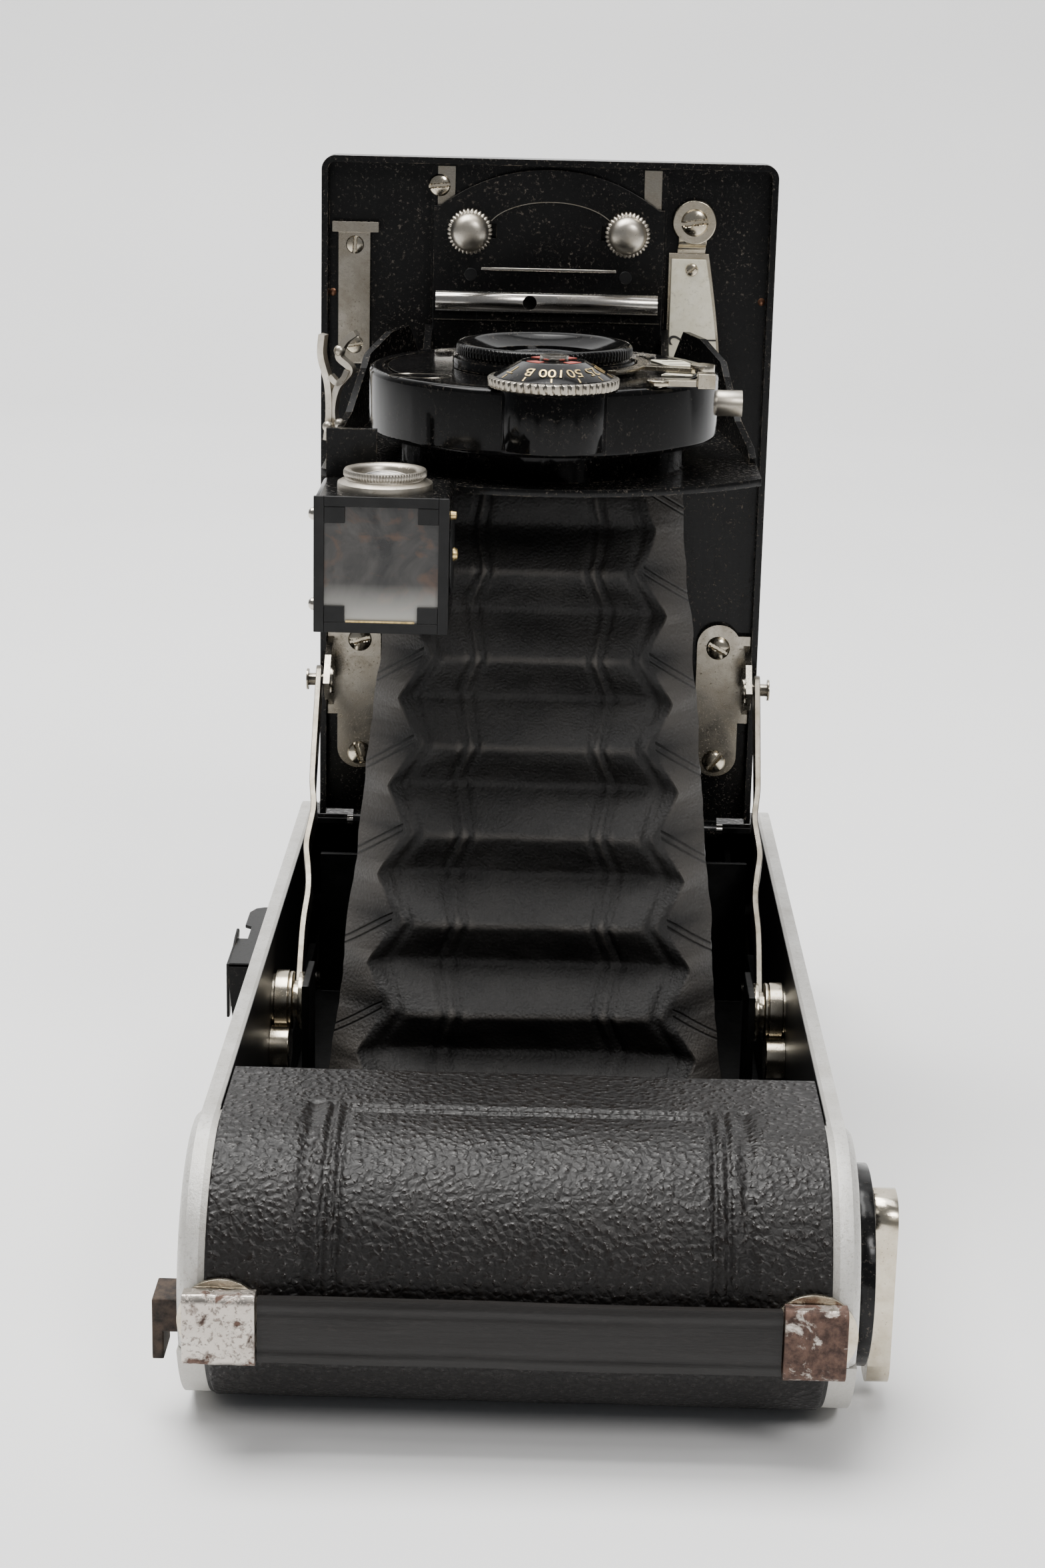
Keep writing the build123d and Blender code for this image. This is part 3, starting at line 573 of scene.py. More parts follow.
def brick(x0, x1, y0, y1, z0, z1):
    return slab([(x0, y0), (x1, y0), (x1, y1), (x0, y1)], z0, z1)


def upright(outline, y0, y1):
    """A slab of (x, z) points between two y values."""
    bm = slab(outline, y0, y1)
    bm.transform(Matrix(((1, 0, 0, 0), (0, 0, 1, 0), (0, 1, 0, 0), (0, 0, 0, 1))))
    return bm


def edgeways(outline, x0, x1):
    """A slab of (y, z) points between two x values."""
    bm = slab(outline, x0, x1)
    bm.transform(Matrix(((0, 0, 1, 0), (1, 0, 0, 0), (0, 1, 0, 0), (0, 0, 0, 1))))
    return bm


def drawn_out(section, x0, x1, steps, error):
    """A closed (y, z) section drawn out along X. error(x, z) is a point's small shift in y and z."""
    bm = bmesh.new()
    rings = []
    for x in spread(x0, x1, steps):
        ring = []
        for y, z in section:
            dy, dz = error(x, z)
            ring.append(bm.verts.new((x, y + dy, z + dz)))
        rings.append(ring)
    return tube(bm, rings)


def merged(*parts):
    """Several bmeshes as one."""
    out = bmesh.new()
    for part in parts:
        mesh = smooth_mesh("part", part)
        out.from_mesh(mesh)
        bpy.data.meshes.remove(mesh)
    return out


def ribbon(path, half_width, thickness, across=(1, 0, 0)):
    """A strip of metal or leather that follows a path of 3-D points."""
    bm = bmesh.new()
    across = Vector(across).normalized()
    rings = []
    for i, point in enumerate(path):
        before = Vector(path[max(i - 1, 0)])
        after = Vector(path[min(i + 1, len(path) - 1)])
        along = (after - before).normalized()
        up = along.cross(across).normalized()
        width = half_width(i / (len(path) - 1)) if callable(half_width) else half_width
        centre = Vector(point)
        rings.append([bm.verts.new(centre + across * (sx * width) + up * (sz * thickness / 2))
                      for sx, sz in ((-1, -1), (1, -1), (1, 1), (-1, 1))])
    return tube(bm, rings)


# ---- CAD nodes

NODE_LOOKS = {
    ALUMINIUM: "side_plate_left side_plate_right",
    SATIN: "front_shell_near front_shell_far film_gate take_up_spool feed_spool key_shaft pressure_plate",
    BRIGHT: "film_rollers spool_pins hinge_pins pressure_spring strut_left strut_right clamp_bar "
            "lens_ring",
    WARM_NICKEL: "strut_pins winding_key strap_studs distance_scale_base spring_catch aperture_lever "
                 "release_lever",
    ENAMEL: "key_washer side_catch bed_plate track_plate carriage_plate standard_plate finder_body",
    CAST_BACK: "back_door",
    RED_GLASS: "red_window",
    LATCH_IRON: "back_latch",
    DULL_NICKEL: "rails bed_strip strut_brackets strut_rivets",
    NICKEL: "bed_screws carriage_knob_left carriage_knob_right shutter_screws dial_screw "
            "finder_objective",
    IVORY: "distance_scale aperture_scale",
    LACQUER: "shutter_body speed_dial",
    GLASS: "front_lens rear_lens finder_lens",
    SATIN_NICKEL: "cable_socket",
    FINDER_GLASS: "finder_window",
    MIRROR: "finder_mirror",
    LEATHER: "end_leather back_leather bed_leather",
    STRAP: "strap",
    RUSTY_LEFT: "strap_clips",
    BELLOWS: "bellows",
}
SOFT_EDGE = {"side_plate_left": 0.35, "side_plate_right": 0.35, "bed_plate": 0.3, "standard_plate": 0.25,
             "carriage_plate": 0.22, "finder_body": 0.25, "shutter_body": 0.3, "winding_key": 0.35,
             "rails": 0.12, "bed_screws": 0.25, "strut_rivets": 0.35, "shutter_screws": 0.3,
             "dial_screw": 0.3, "clamp_bar": 0.2, "strap_studs": 0.25, "back_latch": 0.3}
PLAIN_EDGE = 0.14
WELD_GAP = 0.002
for look, members in NODE_LOOKS.items():
    for member in members.split():
        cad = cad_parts[member]
        cad.data.materials.clear()
        cad.data.materials.append(look)
        cad.modifiers.new("Weld", "WELD").merge_threshold = WELD_GAP * MM
        add_bevel(cad, SOFT_EDGE.get(member, PLAIN_EDGE))


# ---- bellows

# Values in pairs are at the body's opening and at the shutter.
BELLOWS_Z = (6.4, 102.6)
HALF_X = (28.6, 19.6)
HALF_Y = (44.0, 19.5)
MIDDLE_Y = (5.0, 17.5)
CORNER = 4.4
PLEATS = 8.5
FOLD_DEPTH = 4.4
ROW_STEPS = 10
FACE_STEPS = 84


def between(ends, t):
    return ends[0] + (ends[1] - ends[0]) * t


def bellows_sheet():
    """The pleated tube: its near and far faces fold out and in, and its sides only fold in."""
    bm = bmesh.new()
    rings = []
    for t in spread(0, 1, int(PLEATS * 2 * ROW_STEPS)):
        wave = 1 - 2 * abs((PLEATS * 2 * t % 2) - 1)
        wave = copysign(min(1, abs(wave) * 1.06) ** 0.92, wave)
        settle = min(1, t * 9, (1 - t) * 9)
        rings.append(bellows_ring(bm, t, wave * settle))
    return tube(bm, rings)


def bellows_ring(bm, t, wave):
    """One level. At wave 1 the near face is folded out and the sides are folded in; at -1 it is in."""
    z = between(BELLOWS_Z, t)
    half_x, half_y, mid_y = between(HALF_X, t), between(HALF_Y, t), between(MIDDLE_Y, t)
    out_y = 0.5 * FOLD_DEPTH * wave
    out_x = -0.2 * FOLD_DEPTH * (wave + 1)
    pinch = CORNER + 0.5 + 1.5 * wave
    calm = min(1, t * 12, (1 - t) * 12)
    points = []
    sides = [((-1, -1), (1, -1)), ((1, -1), (1, 1)), ((1, 1), (-1, 1)), ((-1, 1), (-1, -1))]
    for index, (start, end) in enumerate(sides):
        front = index % 2 == 0
        reach = (half_x - pinch) if front else (half_y - CORNER)
        for u in spread(-1, 1, FACE_STEPS):
            ease = 1 - abs(u) ** 9
            if front:
                y = start[1] * (half_y + out_y * ease + stiffener(u, reach))
                x = u * reach * (1 if start[0] < end[0] else -1)
            else:
                x = start[0] * (half_x + out_x * ease)
                y = u * reach * (1 if start[1] < end[1] else -1)
            sag = 0.55 * uneven(x * 0.09, y * 0.09, z * 0.16)
            swell = calm * (sag + 0.14 * uneven(x * 0.35, y * 0.35, z * 0.5))
            if front:
                y += start[1] * swell
            else:
                x += start[0] * swell
            points.append(bm.verts.new((x, y + mid_y, z)))
    return points


def stiffener(u, reach):
    """The embossed lines: a close pair near the middle of each half of a face and one near its edge."""
    lines = ((0.47, 0.42, 0.5), (0.57, 0.42, 0.5), (0.88, 0.6, 0.5))
    return -sum(depth * groove((abs(u) - place_at) * reach, width) for place_at, width, depth in lines)


bellows = put("bellows_pleats", bellows_sheet(), BELLOWS, "bellows_leather", "body", "bellows", angle=70)
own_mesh(bellows)


# ---- leathers

def skin_grid(path, x0, x1, columns, dent, thickness=0.3):
    """Leather laid along a (y, z) path from x0 to x1. dent(x, y) is how far a tool pressed it in."""
    bm = bmesh.new()
    rows = []
    for i, (y, z) in enumerate(path):
        ya, za = path[max(i - 1, 0)]
        yb, zb = path[min(i + 1, len(path) - 1)]
        span = hypot(yb - ya, zb - za)
        ny, nz = (zb - za) / span, -(yb - ya) / span
        row = []
        for k, x in enumerate(spread(x0, x1, columns)):
            lift = thickness - dent(x, y) + 0.10 * uneven(x * 0.12, y * 0.12, z * 0.12)
            if min(k, columns - k, i, len(path) - 1 - i) == 0:
                lift = -0.25
            row.append(bm.verts.new((x, y + ny * lift, z + nz * lift)))
        rows.append(row)
    return sheet(bm, rows)


def smooth_end(x, y):
    """Nothing pressed in."""
    return 0.0


def end_emboss(x, y):
    """Pressed lines on the near end: two across, and bands of three down each side."""
    dent = 0.0
    x -= 0.7
    if abs(x) < 23.2:
        for line_y in (-63.6, -65.2):
            dent += 0.45 * groove(y - line_y, 0.38)
    if y < -62.5:
        for line_x, width in ((22.4, 0.42), (24.0, 0.42), (26.3, 0.95)):
            dent += 0.42 * groove(abs(x) - line_x, width)
    return min(dent, 0.48)


LEATHER_HALF = 37.15
DOOR_LEATHER_HALF = 37.0
END_Y, END_Z = -67.5, 17.5
FLAT_ROWS = 64
ROUND_ROWS = 110


def end_path(z_low, radius, flat_y=-51.6):
    """From the body's opening, round the near end and down to z_low."""
    points = [(flat_y - (flat_y - END_Y) * k / FLAT_ROWS, END_Z + radius) for k in range(FLAT_ROWS)]
    stop = asin((END_Z - z_low) / radius)
    for k in range(ROUND_ROWS + 1):
        turn = pi / 2 + (pi / 2 + stop) * k / ROUND_ROWS
        points.append((END_Y + radius * cos(turn), END_Z + radius * sin(turn)))
    return points


near_skin = skin_grid(end_path(12.0, 17.2), -LEATHER_HALF, LEATHER_HALF, 270, end_emboss, 0.5)
far_path = [(-y, z) for y, z in end_path(14.2, 17.2, flat_y=-62.5)][::-1]
far_skin = skin_grid(far_path, -LEATHER_HALF, LEATHER_HALF, 150, smooth_end)
put("end_leathers", merged(near_skin, far_skin), LEATHER, "grained_leather", "body", "end_leather",
    angle=80)
door_path = end_path(0.02, 17.5)[FLAT_ROWS:]
door_path = [p for p in door_path if p[1] < 11.4] + [(-66.5 + 0.5 * k, 0.0) for k in range(10)]
door_skin = skin_grid(door_path, -DOOR_LEATHER_HALF, DOOR_LEATHER_HALF, 170, smooth_end, 0.32)
put("door_end_leather", door_skin, LEATHER, "grained_leather", "back", angle=80)


def plate_skin(outline_x, y0, y1, z, normal, hole=None):
    """A flat leather panel with rounded edges, gently uneven. normal is the axis and sign it faces."""
    bm = bmesh.new()
    columns, lines = 60, 90
    rows = []
    for i, v in enumerate(spread(y0, y1, lines)):
        row = []
        for k, u in enumerate(spread(-outline_x, outline_x, columns)):
            edge = min(k, columns - k, i, lines - i)
            lift = 0.06 * uneven(u * 0.1, v * 0.1, z) if edge else -0.3
            if hole and hypot(u - hole[0], v - hole[1]) < hole[2] + 0.2:
                lift = -0.3
            depth = z + normal[1] * lift
            row.append(bm.verts.new((u, v, depth) if normal[0] == "Z" else (u, depth, v)))
        rows.append(row)
    for i, (a, b) in enumerate(zip(rows, rows[1:])):
        for k in range(columns):
            u = -outline_x + 2 * outline_x * (k + 0.5) / columns
            v = y0 + (y1 - y0) * (i + 0.5) / lines
            if hole and hypot(u - hole[0], v - hole[1]) < hole[2] - 0.8:
                continue
            bm.faces.new((a[k], a[k + 1], b[k + 1], b[k]))
    return bm


WINDOW_HOLE = (0, 20, 5.4)
back_skin = plate_skin(34.95, -61.9, 61.9, 0.0, ("Z", -1), WINDOW_HOLE)
put("back_leather_panel", back_skin, LEATHER, "grained_leather", "back", "back_leather", angle=80)
bed_low, bed_high = box_mm("bed_leather")
bed_skin = plate_skin(bed_high[0] - 0.1, bed_low[2] + 0.1, bed_high[2] - 0.1, bed_high[1], ("Y", 1))
put("bed_leather_panel", bed_skin, LEATHER, "grained_leather", "bed", "bed_leather", angle=80)


# ---- strap and its clips

def strap_band():
    """A flat leather band: two low ridges along it and a folded top edge."""
    section = []
    (x0, y0, z0), (x1, y1, z1) = box_mm("strap")
    z_mid, half = (z0 + z1) / 2, (z1 - z0) / 2
    for u in spread(-1, 1, 24):
        ridge = 0.16 * groove(abs(u) - 0.78, 0.10) - 0.10 * groove(abs(u) - 0.60, 0.08)
        crown = 0.22 * (1 - u * u)
        section.append((y0 + 0.18 - ridge - crown, z_mid + half * u))
    for u in spread(1, -1, 12):
        section.append((y1 - 0.1, z_mid + (half - 0.25) * u))

    def wobble(x, z):
        return 0.12 * uneven(x * 0.08, z * 0.3, 2.0), 0.2 * uneven(x * 0.05, 0, 7.0)
    return drawn_out(section, x0, x1, 120, wobble)


put("strap_band", strap_band(), STRAP, "strap_leather", "body", "strap", angle=50)


def clip(x0, x1):
    """Sheet metal folded round the strap's end and pressed flat."""
    (_, y0, z0), (_, y1, z1) = box_mm("strap_clips")
    z_mid, half = (z0 + z1) / 2, (z1 - z0) / 2
    section = []
    corner = 0.9
    for u in spread(-1, 1, 24):
        round_off = max(0.0, abs(u) * half - (half - corner))
        section.append((y0 + round_off ** 2 / corner * 0.7, z_mid + half * u))
    section += [(y1, z1 - 0.15), (y1, z0 + 0.15)]

    def dents(x, z):
        return (0.16 * uneven(x * 0.35, z * 0.35, 5.0) + 0.05 * uneven(x, z, 1.0),
                0.12 * uneven(x * 0.4, 3, z * 0.1))
    return drawn_out(section, x0, x1, 40, dents)


put("strap_clip_left", clip(-39.2, -30.6), RUSTY_LEFT, "nickel", "body", "strap_clips", bevel=0.12,
    angle=50)
put("strap_clip_right", clip(31.2, 38.6), RUSTY_RIGHT, "nickel", "body", bevel=0.12, angle=50)


# ---- turned and knurled parts

def teeth(count, depth, rows):
    """A lathe bump that cuts teeth into some of the profile's points."""
    def shift(turn, i):
        return depth * (abs(sin(turn * count / 2)) - 1) if i in rows else 0.0
    return shift


KNOB_FORM = [(0, 4.7), (0.9, 4.66), (1.7, 4.45), (2.3, 4.05), (2.75, 3.4), (2.95, 2.7), (2.98, 2.3),
             (3.4, 2.15), (3.52, 1.9), (3.52, 1.0), (3.35, 0.75), (1.2, 0.7), (1.2, 0.0), (0, 0)]
CARRIAGE_FACE = 56.9
for knob in ("left", "right"):
    x, _, z = middle("carriage_knob_" + knob)
    form = lathe(KNOB_FORM, 288, (x, CARRIAGE_FACE - 0.3, z), "Y", True, teeth(32, 0.34, (7, 8, 9, 10)))
    put("knob_" + knob, form, SATIN_NICKEL, "nickel", knob + "_knob", "carriage_knob_" + knob, angle=50)

RING_FORM = [(8.2, 117.3), (8.2, 119.0), (8.9, 119.25), (10.9, 120.25), (11.3, 120.55), (11.9, 120.5),
             (12.25, 120.2), (12.35, 119.9), (12.35, 119.0), (12.1, 118.8), (12.1, 118.55), (12.75, 118.4),
             (12.85, 118.2), (12.85, 117.1), (8.2, 117.1)]
lens_centre = (0, middle("lens_ring")[1], 0)
lens_mount = lathe(RING_FORM, 660, lens_centre, bump=teeth(110, 0.16, (7, 8)))
put("lens_mount", lens_mount, LACQUER, "black_enamel", "standard", "lens_ring", angle=45)
GLASS_RADIUS, GLASS_Z, GLASS_RISE = 8.15, 117.6, 1.7
dome_turns = [radians(4 * k) for k in range(22)]
dome = [(GLASS_RADIUS * sin(a), GLASS_Z + GLASS_RISE * cos(a)) for a in dome_turns]
dome += [(GLASS_RADIUS, GLASS_Z - 0.1), (0, GLASS_Z - 0.1)]
put("front_glass", lathe(dome, 96, lens_centre), FRONT_GLASS, "lens_glass", "standard", "front_lens",
    angle=40)

OBJECTIVE = [(4.1, 105.2), (4.1, 106.5), (4.5, 106.9), (5.0, 107.05), (5.35, 107.0), (5.5, 106.75),
             (5.5, 106.2), (5.3, 106.0), (5.3, 105.8), (6.25, 105.3), (6.3, 104.9), (6.3, 104.5),
             (4.1, 104.5)]
finder_x, finder_y, _ = middle("finder_objective")
finder_ring = lathe(OBJECTIVE, 480, (finder_x, finder_y, 0), bump=teeth(80, 0.14, (5, 6)))
put("finder_ring", finder_ring, SATIN_NICKEL, "nickel", "finder", "finder_objective", angle=45)

dial_x, dial_y, _ = middle("speed_dial")
DIAL_TOP = 120.8
CONE_TOP, CONE_FOOT = (4.4, 120.75), (8.0, 118.75)
DIAL_CONE = [(0, DIAL_TOP), (4.0, DIAL_TOP), CONE_TOP, CONE_FOOT, (8.05, 118.4), (0, 118.4)]
DIAL_RIM = [(7.6, 118.7), (8.5, 118.66), (8.8, 118.5), (8.8, 117.5), (8.6, 117.3), (7.6, 117.3)]
dial_cone = lathe(DIAL_CONE, 120, (dial_x, dial_y, 0))
put("dial_cone", dial_cone, LACQUER, "black_enamel", "dial", "speed_dial", bevel=0.1, angle=40)
dial_rim = lathe(DIAL_RIM, 420, (dial_x, dial_y, 0), bump=teeth(52, 0.3, (2, 3, 4)))
put("dial_rim", dial_rim, DULL_NICKEL, "nickel", "dial", angle=45)


# ---- numbers and marks

def number_form(words, height):
    """A number as a thin flat mesh in its own x, y plane, centred, in millimetres."""
    curve = bpy.data.curves.new("number", "FONT")
    curve.body = words
    curve.size = height * 1.38
    curve.align_x = "CENTER"
    curve.align_y = "CENTER"
    curve.extrude = 0.02
    holder = add_object("number", curve)
    bpy.context.view_layer.update()
    mesh = bpy.data.meshes.new_from_object(holder.evaluated_get(bpy.context.evaluated_depsgraph_get()))
    bm = bmesh.new()
    bm.from_mesh(mesh)
    bpy.data.objects.remove(holder)
    bpy.data.curves.remove(curve)
    bpy.data.meshes.remove(mesh)
    return bm


def aim(bm, origin, right, up):
    """Lays a flat form at origin with its x along right and its y along up."""
    right, up = Vector(right).normalized(), Vector(up).normalized()
    turn = Matrix((right, up, right.cross(up))).transposed().to_4x4()
    bm.transform(Matrix.Translation(origin) @ turn)
    return bm


MARK_LIFT = 0.03


def cone_point(turn, radius):
    """A point on the dial's cone, with the directions round it and down its slope."""
    run, rise = CONE_FOOT[0] - CONE_TOP[0], CONE_TOP[1] - CONE_FOOT[1]
    out = Vector((cos(turn), sin(turn), 0))
    round_it = Vector((-out.y, out.x, 0))
    down = (out * run - Vector((0, 0, rise))).normalized()
    normal = (out * rise + Vector((0, 0, run))).normalized()
    height = CONE_FOOT[1] + (CONE_FOOT[0] - radius) * rise / run
    centre = Vector((dial_x, dial_y, height)) + out * radius + normal * MARK_LIFT
    return centre, round_it, down


SPEEDS = ["T", "B", "100", "50", "25", "10", "5", "2", "1"]
SPEED_RADIUS, TICK_RADIUS = 6.0, 7.45
dial_marks = []
for index, speed in enumerate(SPEEDS):
    turn = radians(-150 + 29 * index)
    for radius, mark in ((SPEED_RADIUS, number_form(speed, 1.7)),
                         (TICK_RADIUS, brick(-0.1, 0.1, -0.42, 0.42, -0.01, 0.02))):
        centre, round_it, down = cone_point(turn, radius)
        dial_marks.append(aim(mark, centre, -round_it, down))
put("dial_numbers", merged(*dial_marks), GILT, "nickel", "dial", angle=30)


def arc_band(inner, outer, start, end, low, high, steps=14):
    """A flat band round the origin between two angles in degrees."""
    turns = [radians(a) for a in spread(start, end, steps)]
    outline = [(outer * cos(a), outer * sin(a)) for a in turns]
    outline += [(inner * cos(a), inner * sin(a)) for a in turns[::-1]]
    return slab(outline, low, high)


RED_ARCS = [(100, 140), (40, 80), (205, 240), (300, 335)]
red = merged(*[arc_band(2.5, 4.0, start, end, DIAL_TOP, DIAL_TOP + 0.06) for start, end in RED_ARCS])
red.transform(Matrix.Translation((dial_x, dial_y, 0)))
put("dial_red_marks", red, RED_INK, "red_glass", "dial", angle=30)

marks = merged(*[arc_band(18.0, 21.2, turn, turn + 0.6, 117.28, 117.34, 2) for turn in range(-24, 31, 9)])
marks.transform(Matrix.Translation(lens_centre))
put("aperture_marks", marks, INK, "black_steel", "standard", angle=30)


def oval_ring(cx, cy, rx, ry, width, low, high):
    """A thin raised line round an oval."""
    steps = 48
    bm = bmesh.new()
    rings = []
    for k in range(steps):
        turn = 2 * pi * k / steps
        c, s = cos(turn), sin(turn)
        rings.append([bm.verts.new((cx + (rx + o) * c, cy + (ry + o) * s, h))
                      for o, h in ((0, low), (width, low), (width * 0.8, high), (width * 0.2, high))])
    return tube(bm, rings + rings[:1], capped=False)


cartouche = oval_ring(-16.8, -2.6, 4.2, 2.1, 0.16, 116.98, 117.06)
put("plain_cartouche", cartouche, DULL_NICKEL, "nickel", "standard", angle=30)


# ---- finder, catches and bed fittings

def finder_mask():
    """The frame before the finder's window, notched at its corners for upright and level views."""
    (x0, y0, z0), (x1, _, z1) = box_mm("finder_body")
    front, back = y0 - 0.3, y0 + 0.25
    side, notch = 1.35, 2.7
    bars = [brick(x0, x0 + side, front, back, z0, z1), brick(x1 - side, x1, front, back, z0, z1),
            brick(x0 + side, x1 - side, front + 0.02, back, z0, z0 + side),
            brick(x0 + side, x1 - side, front + 0.02, back, z1 - side, z1)]
    for cx in (x0 + side, x1 - side - notch):
        for cz in (z0 + side, z1 - side - notch * 0.8):
            bars.append(brick(cx, cx + notch, front + 0.06, back, cz, cz + notch * 0.8))
    return merged(*bars)


put("finder_mask", finder_mask(), SATIN, "black_enamel", "finder", bevel=0.1)
(fx0, fy0, fz0), (fx1, _, _) = box_mm("finder_body")
gilt_strip = brick(fx0 + 4.2, fx1 - 4.4, fy0 - 0.1, fy0 + 0.1, fz0 + 1.35, fz0 + 1.6)
put("finder_gilt_edge", gilt_strip, GILT, "nickel", "finder")
PIN_FORM = [(0, 0.9), (0.5, 0.82), (0.8, 0.5), (0.85, 0.1), (0, 0.1)]
pins = turned(PIN_FORM, 32, "X", True, (fx0, -24.5, fz0 + 15.2), (fx0, -24.5, fz0 + 3.2))
put("finder_pins", pins, NICKEL, "nickel", "finder")
DISC_FORM = [(0, 0.35), (5.2, 0.3), (5.5, 0.15), (5.5, 0.0), (0, 0)]
side_disc = lathe(DISC_FORM, 72, (fx1, -19.8, fz0 + 9.4), "X")
put("finder_pivot_disc", side_disc, SATIN, "black_enamel", "finder", bevel=0.08)
LUG_FORM = [(0, 0.9), (0.7, 0.8), (0.9, 0.4), (0.9, 0.2), (0, 0.2)]
TIP_FORM = [(0, 0.8), (0.5, 0.7), (0.6, 0.0), (0, 0)]
lug = merged(lathe(LUG_FORM, 28, (fx1 + 0.1, -21.2, fz0 + 9.6), "X"),
             lathe(TIP_FORM, 28, (fx1 + 0.1, -24.6, fz0 + 15.4), "X"))
put("finder_brass_lug", lug, GILT, "nickel", "finder")


def smooth_path(points, steps=8):
    """A Catmull-Rom curve through points."""
    out = []
    padded = [points[0]] + list(points) + [points[-1]]
    for i in range(1, len(padded) - 2):
        p0, p1, p2, p3 = (Vector(p) for p in padded[i - 1:i + 3])
        for k in range(steps):
            t = k / steps
            out.append(0.5 * (2 * p1 + (p2 - p0) * t + (2 * p0 - 5 * p1 + 4 * p2 - p3) * t * t
                              + (3 * p1 - p0 - 3 * p2 + p3) * t ** 3))
    out.append(Vector(points[-1]))
    return out


def lever(half_width, thickness, across, *points):
    return ribbon(smooth_path(points), half_width, thickness, across)


outer_lever = lever(0.9, 0.95, (0.25, 1, 0), (-31.9, 20, 119.6), (-32.1, 20.5, 116.5),
                    (-31.2, 21.5, 112.4), (-31.0, 22, 108), (-31.4, 22.5, 104.0))
inner_lever = lever(0.9, 0.9, (0.25, 1, 0), (-27.2, 21, 119.8), (-28.7, 21, 118.6), (-29.6, 21, 116.4),
                    (-27.9, 21.3, 114.4), (-29.8, 21.6, 111.8), (-30.5, 22, 108.2), (-29.8, 22.5, 104.0))
hook = lever(0.8, 0.8, (0.2, 1, 0), (-30.9, 20.6, 113.6), (-29.8, 20.6, 112.6), (-28.9, 20.8, 113.3),
             (-28.4, 21, 114.4))
LEVER_RIVET = [(0, 0.8), (0.5, 0.7), (0.8, 0.35), (0.85, 0.0), (0, 0)]
rivets = turned(LEVER_RIVET, 28, "Y", True, (-31.2, 20.6, 106.2), (-29.6, 20.6, 106.6),
                (-29.6, 20.6, 117.2))
put("spring_levers", merged(outer_lever, inner_lever, hook, rivets), SATIN_NICKEL, "bright_steel",
    "standard", "spring_catch", bevel=0.1, angle=40)


PLATE_LEFT, PLATE_RIGHT, PLATE_BOW = 19.2, 24.6, 2.6
PLATE_FACE = 57.8
MARK_LAYER = (PLATE_FACE - 0.06, PLATE_FACE + 0.05)


def scale_outline(grow, low, high):
    """The distance plate in (x, z): straight on the left, bowed on the right."""
    points = [(PLATE_LEFT - grow, low - grow), (PLATE_LEFT - grow, high + grow)]
    for t in spread(0, 1, 16):
        bow = PLATE_RIGHT + PLATE_BOW * sin(pi / 2 * t) + grow
        points.append((bow, high + grow - (high - low + 2 * grow) * t))
    return points[::-1]


def mark_line(x0, x1, z, width):
    return upright([(x0, z), (x1, z), (x1, z + width), (x0, z + width)], *MARK_LAYER)


plate = upright(scale_outline(0, 105, 128.0), PLATE_FACE, PLATE_FACE + 0.8)
put("distance_plate", plate, IVORY, "ivory", "bed", "distance_scale", bevel=0.12)
TAB_FORM = [(0, 1.6), (3.3, 1.6), (3.45, 1.4), (3.45, 0), (0, 0)]
tab = lathe(TAB_FORM, 64, (22.6, 59.5, 133.6), "Y", True)
neck = lever(2.2, 0.5, (1, 0, 0), (22.4, 58.2, 132), (22.4, 58.2, 130.6), (22.3, 58.9, 129.6),
             (22.2, 58.9, 127.6))
under = upright(scale_outline(0.45, 104.8, 128.4), PLATE_FACE + 0.7, PLATE_FACE + 1.6)
put("distance_plate_edge", merged(under, tab, neck), WARM_NICKEL, "nickel", "bed",
    "distance_scale_base", bevel=0.12, angle=40)
numeral = aim(number_form("2", 2.9), (20.7, PLATE_FACE - 0.04, 115.5), (0, 0, 1), (-1, 0, 0))
marks = merged(mark_line(22.2, 26.6, 115.4, 0.25), numeral, mark_line(24.6, 26.9, 110.3, 0.22),
               mark_line(24.6, 26.9, 106.6, 0.22))
put("distance_marks", marks, INK, "black_steel", "bed")

ARCH_X, ARCH_Z, ARCH_RX, ARCH_RZ = 0.4, 131.4, 9.4 / 0.93, 4.9
arch_turns = [radians(a) for a in range(-68, 69, 4)]
# Thin dull-nickel strips on the arch's inner edge and along the plate's lower bend: painted highlights on
# the black enamel's edges.
arch_highlight = ribbon([(ARCH_X + ARCH_RX * sin(a), CARRIAGE_FACE - 0.05, ARCH_Z + ARCH_RZ * cos(a))
               for a in arch_turns], 0.14, 0.13, (0, 1, 0))
bend_highlight = brick(-17.7, 17.6, CARRIAGE_FACE - 0.28, CARRIAGE_FACE, 117.9, 118.08)
put("carriage_edge_highlights", merged(arch_highlight, bend_highlight), DULL_NICKEL, "black_enamel", "carriage")
slot_edge = brick(-10.4, 10.6, CARRIAGE_FACE - 0.4, CARRIAGE_FACE, 125.7, 126.15)
put("carriage_slot_edge", slot_edge, NICKEL, "nickel", "carriage", bevel=0.1)
DIMPLE_FORM = [(0, 0.12), (0.9, 0.1), (1.0, 0), (0, 0)]
dimples = turned(DIMPLE_FORM, 28, "Y", True, (-12.0, CARRIAGE_FACE, 125.0), (12.1, CARRIAGE_FACE, 125.0))
put("carriage_dimples", dimples, SATIN, "black_steel", "carriage")
COPPER_FORM = [(0, 0.18), (0.4, 0.14), (0.6, 0.02), (0, 0)]
copper = turned(COPPER_FORM, 24, "Y", True, (-33.7, 59.5, 121.5), (33.6, 59.5, 121.5))
put("bed_copper_rivets", copper, COPPER, "bright_steel", "bed")


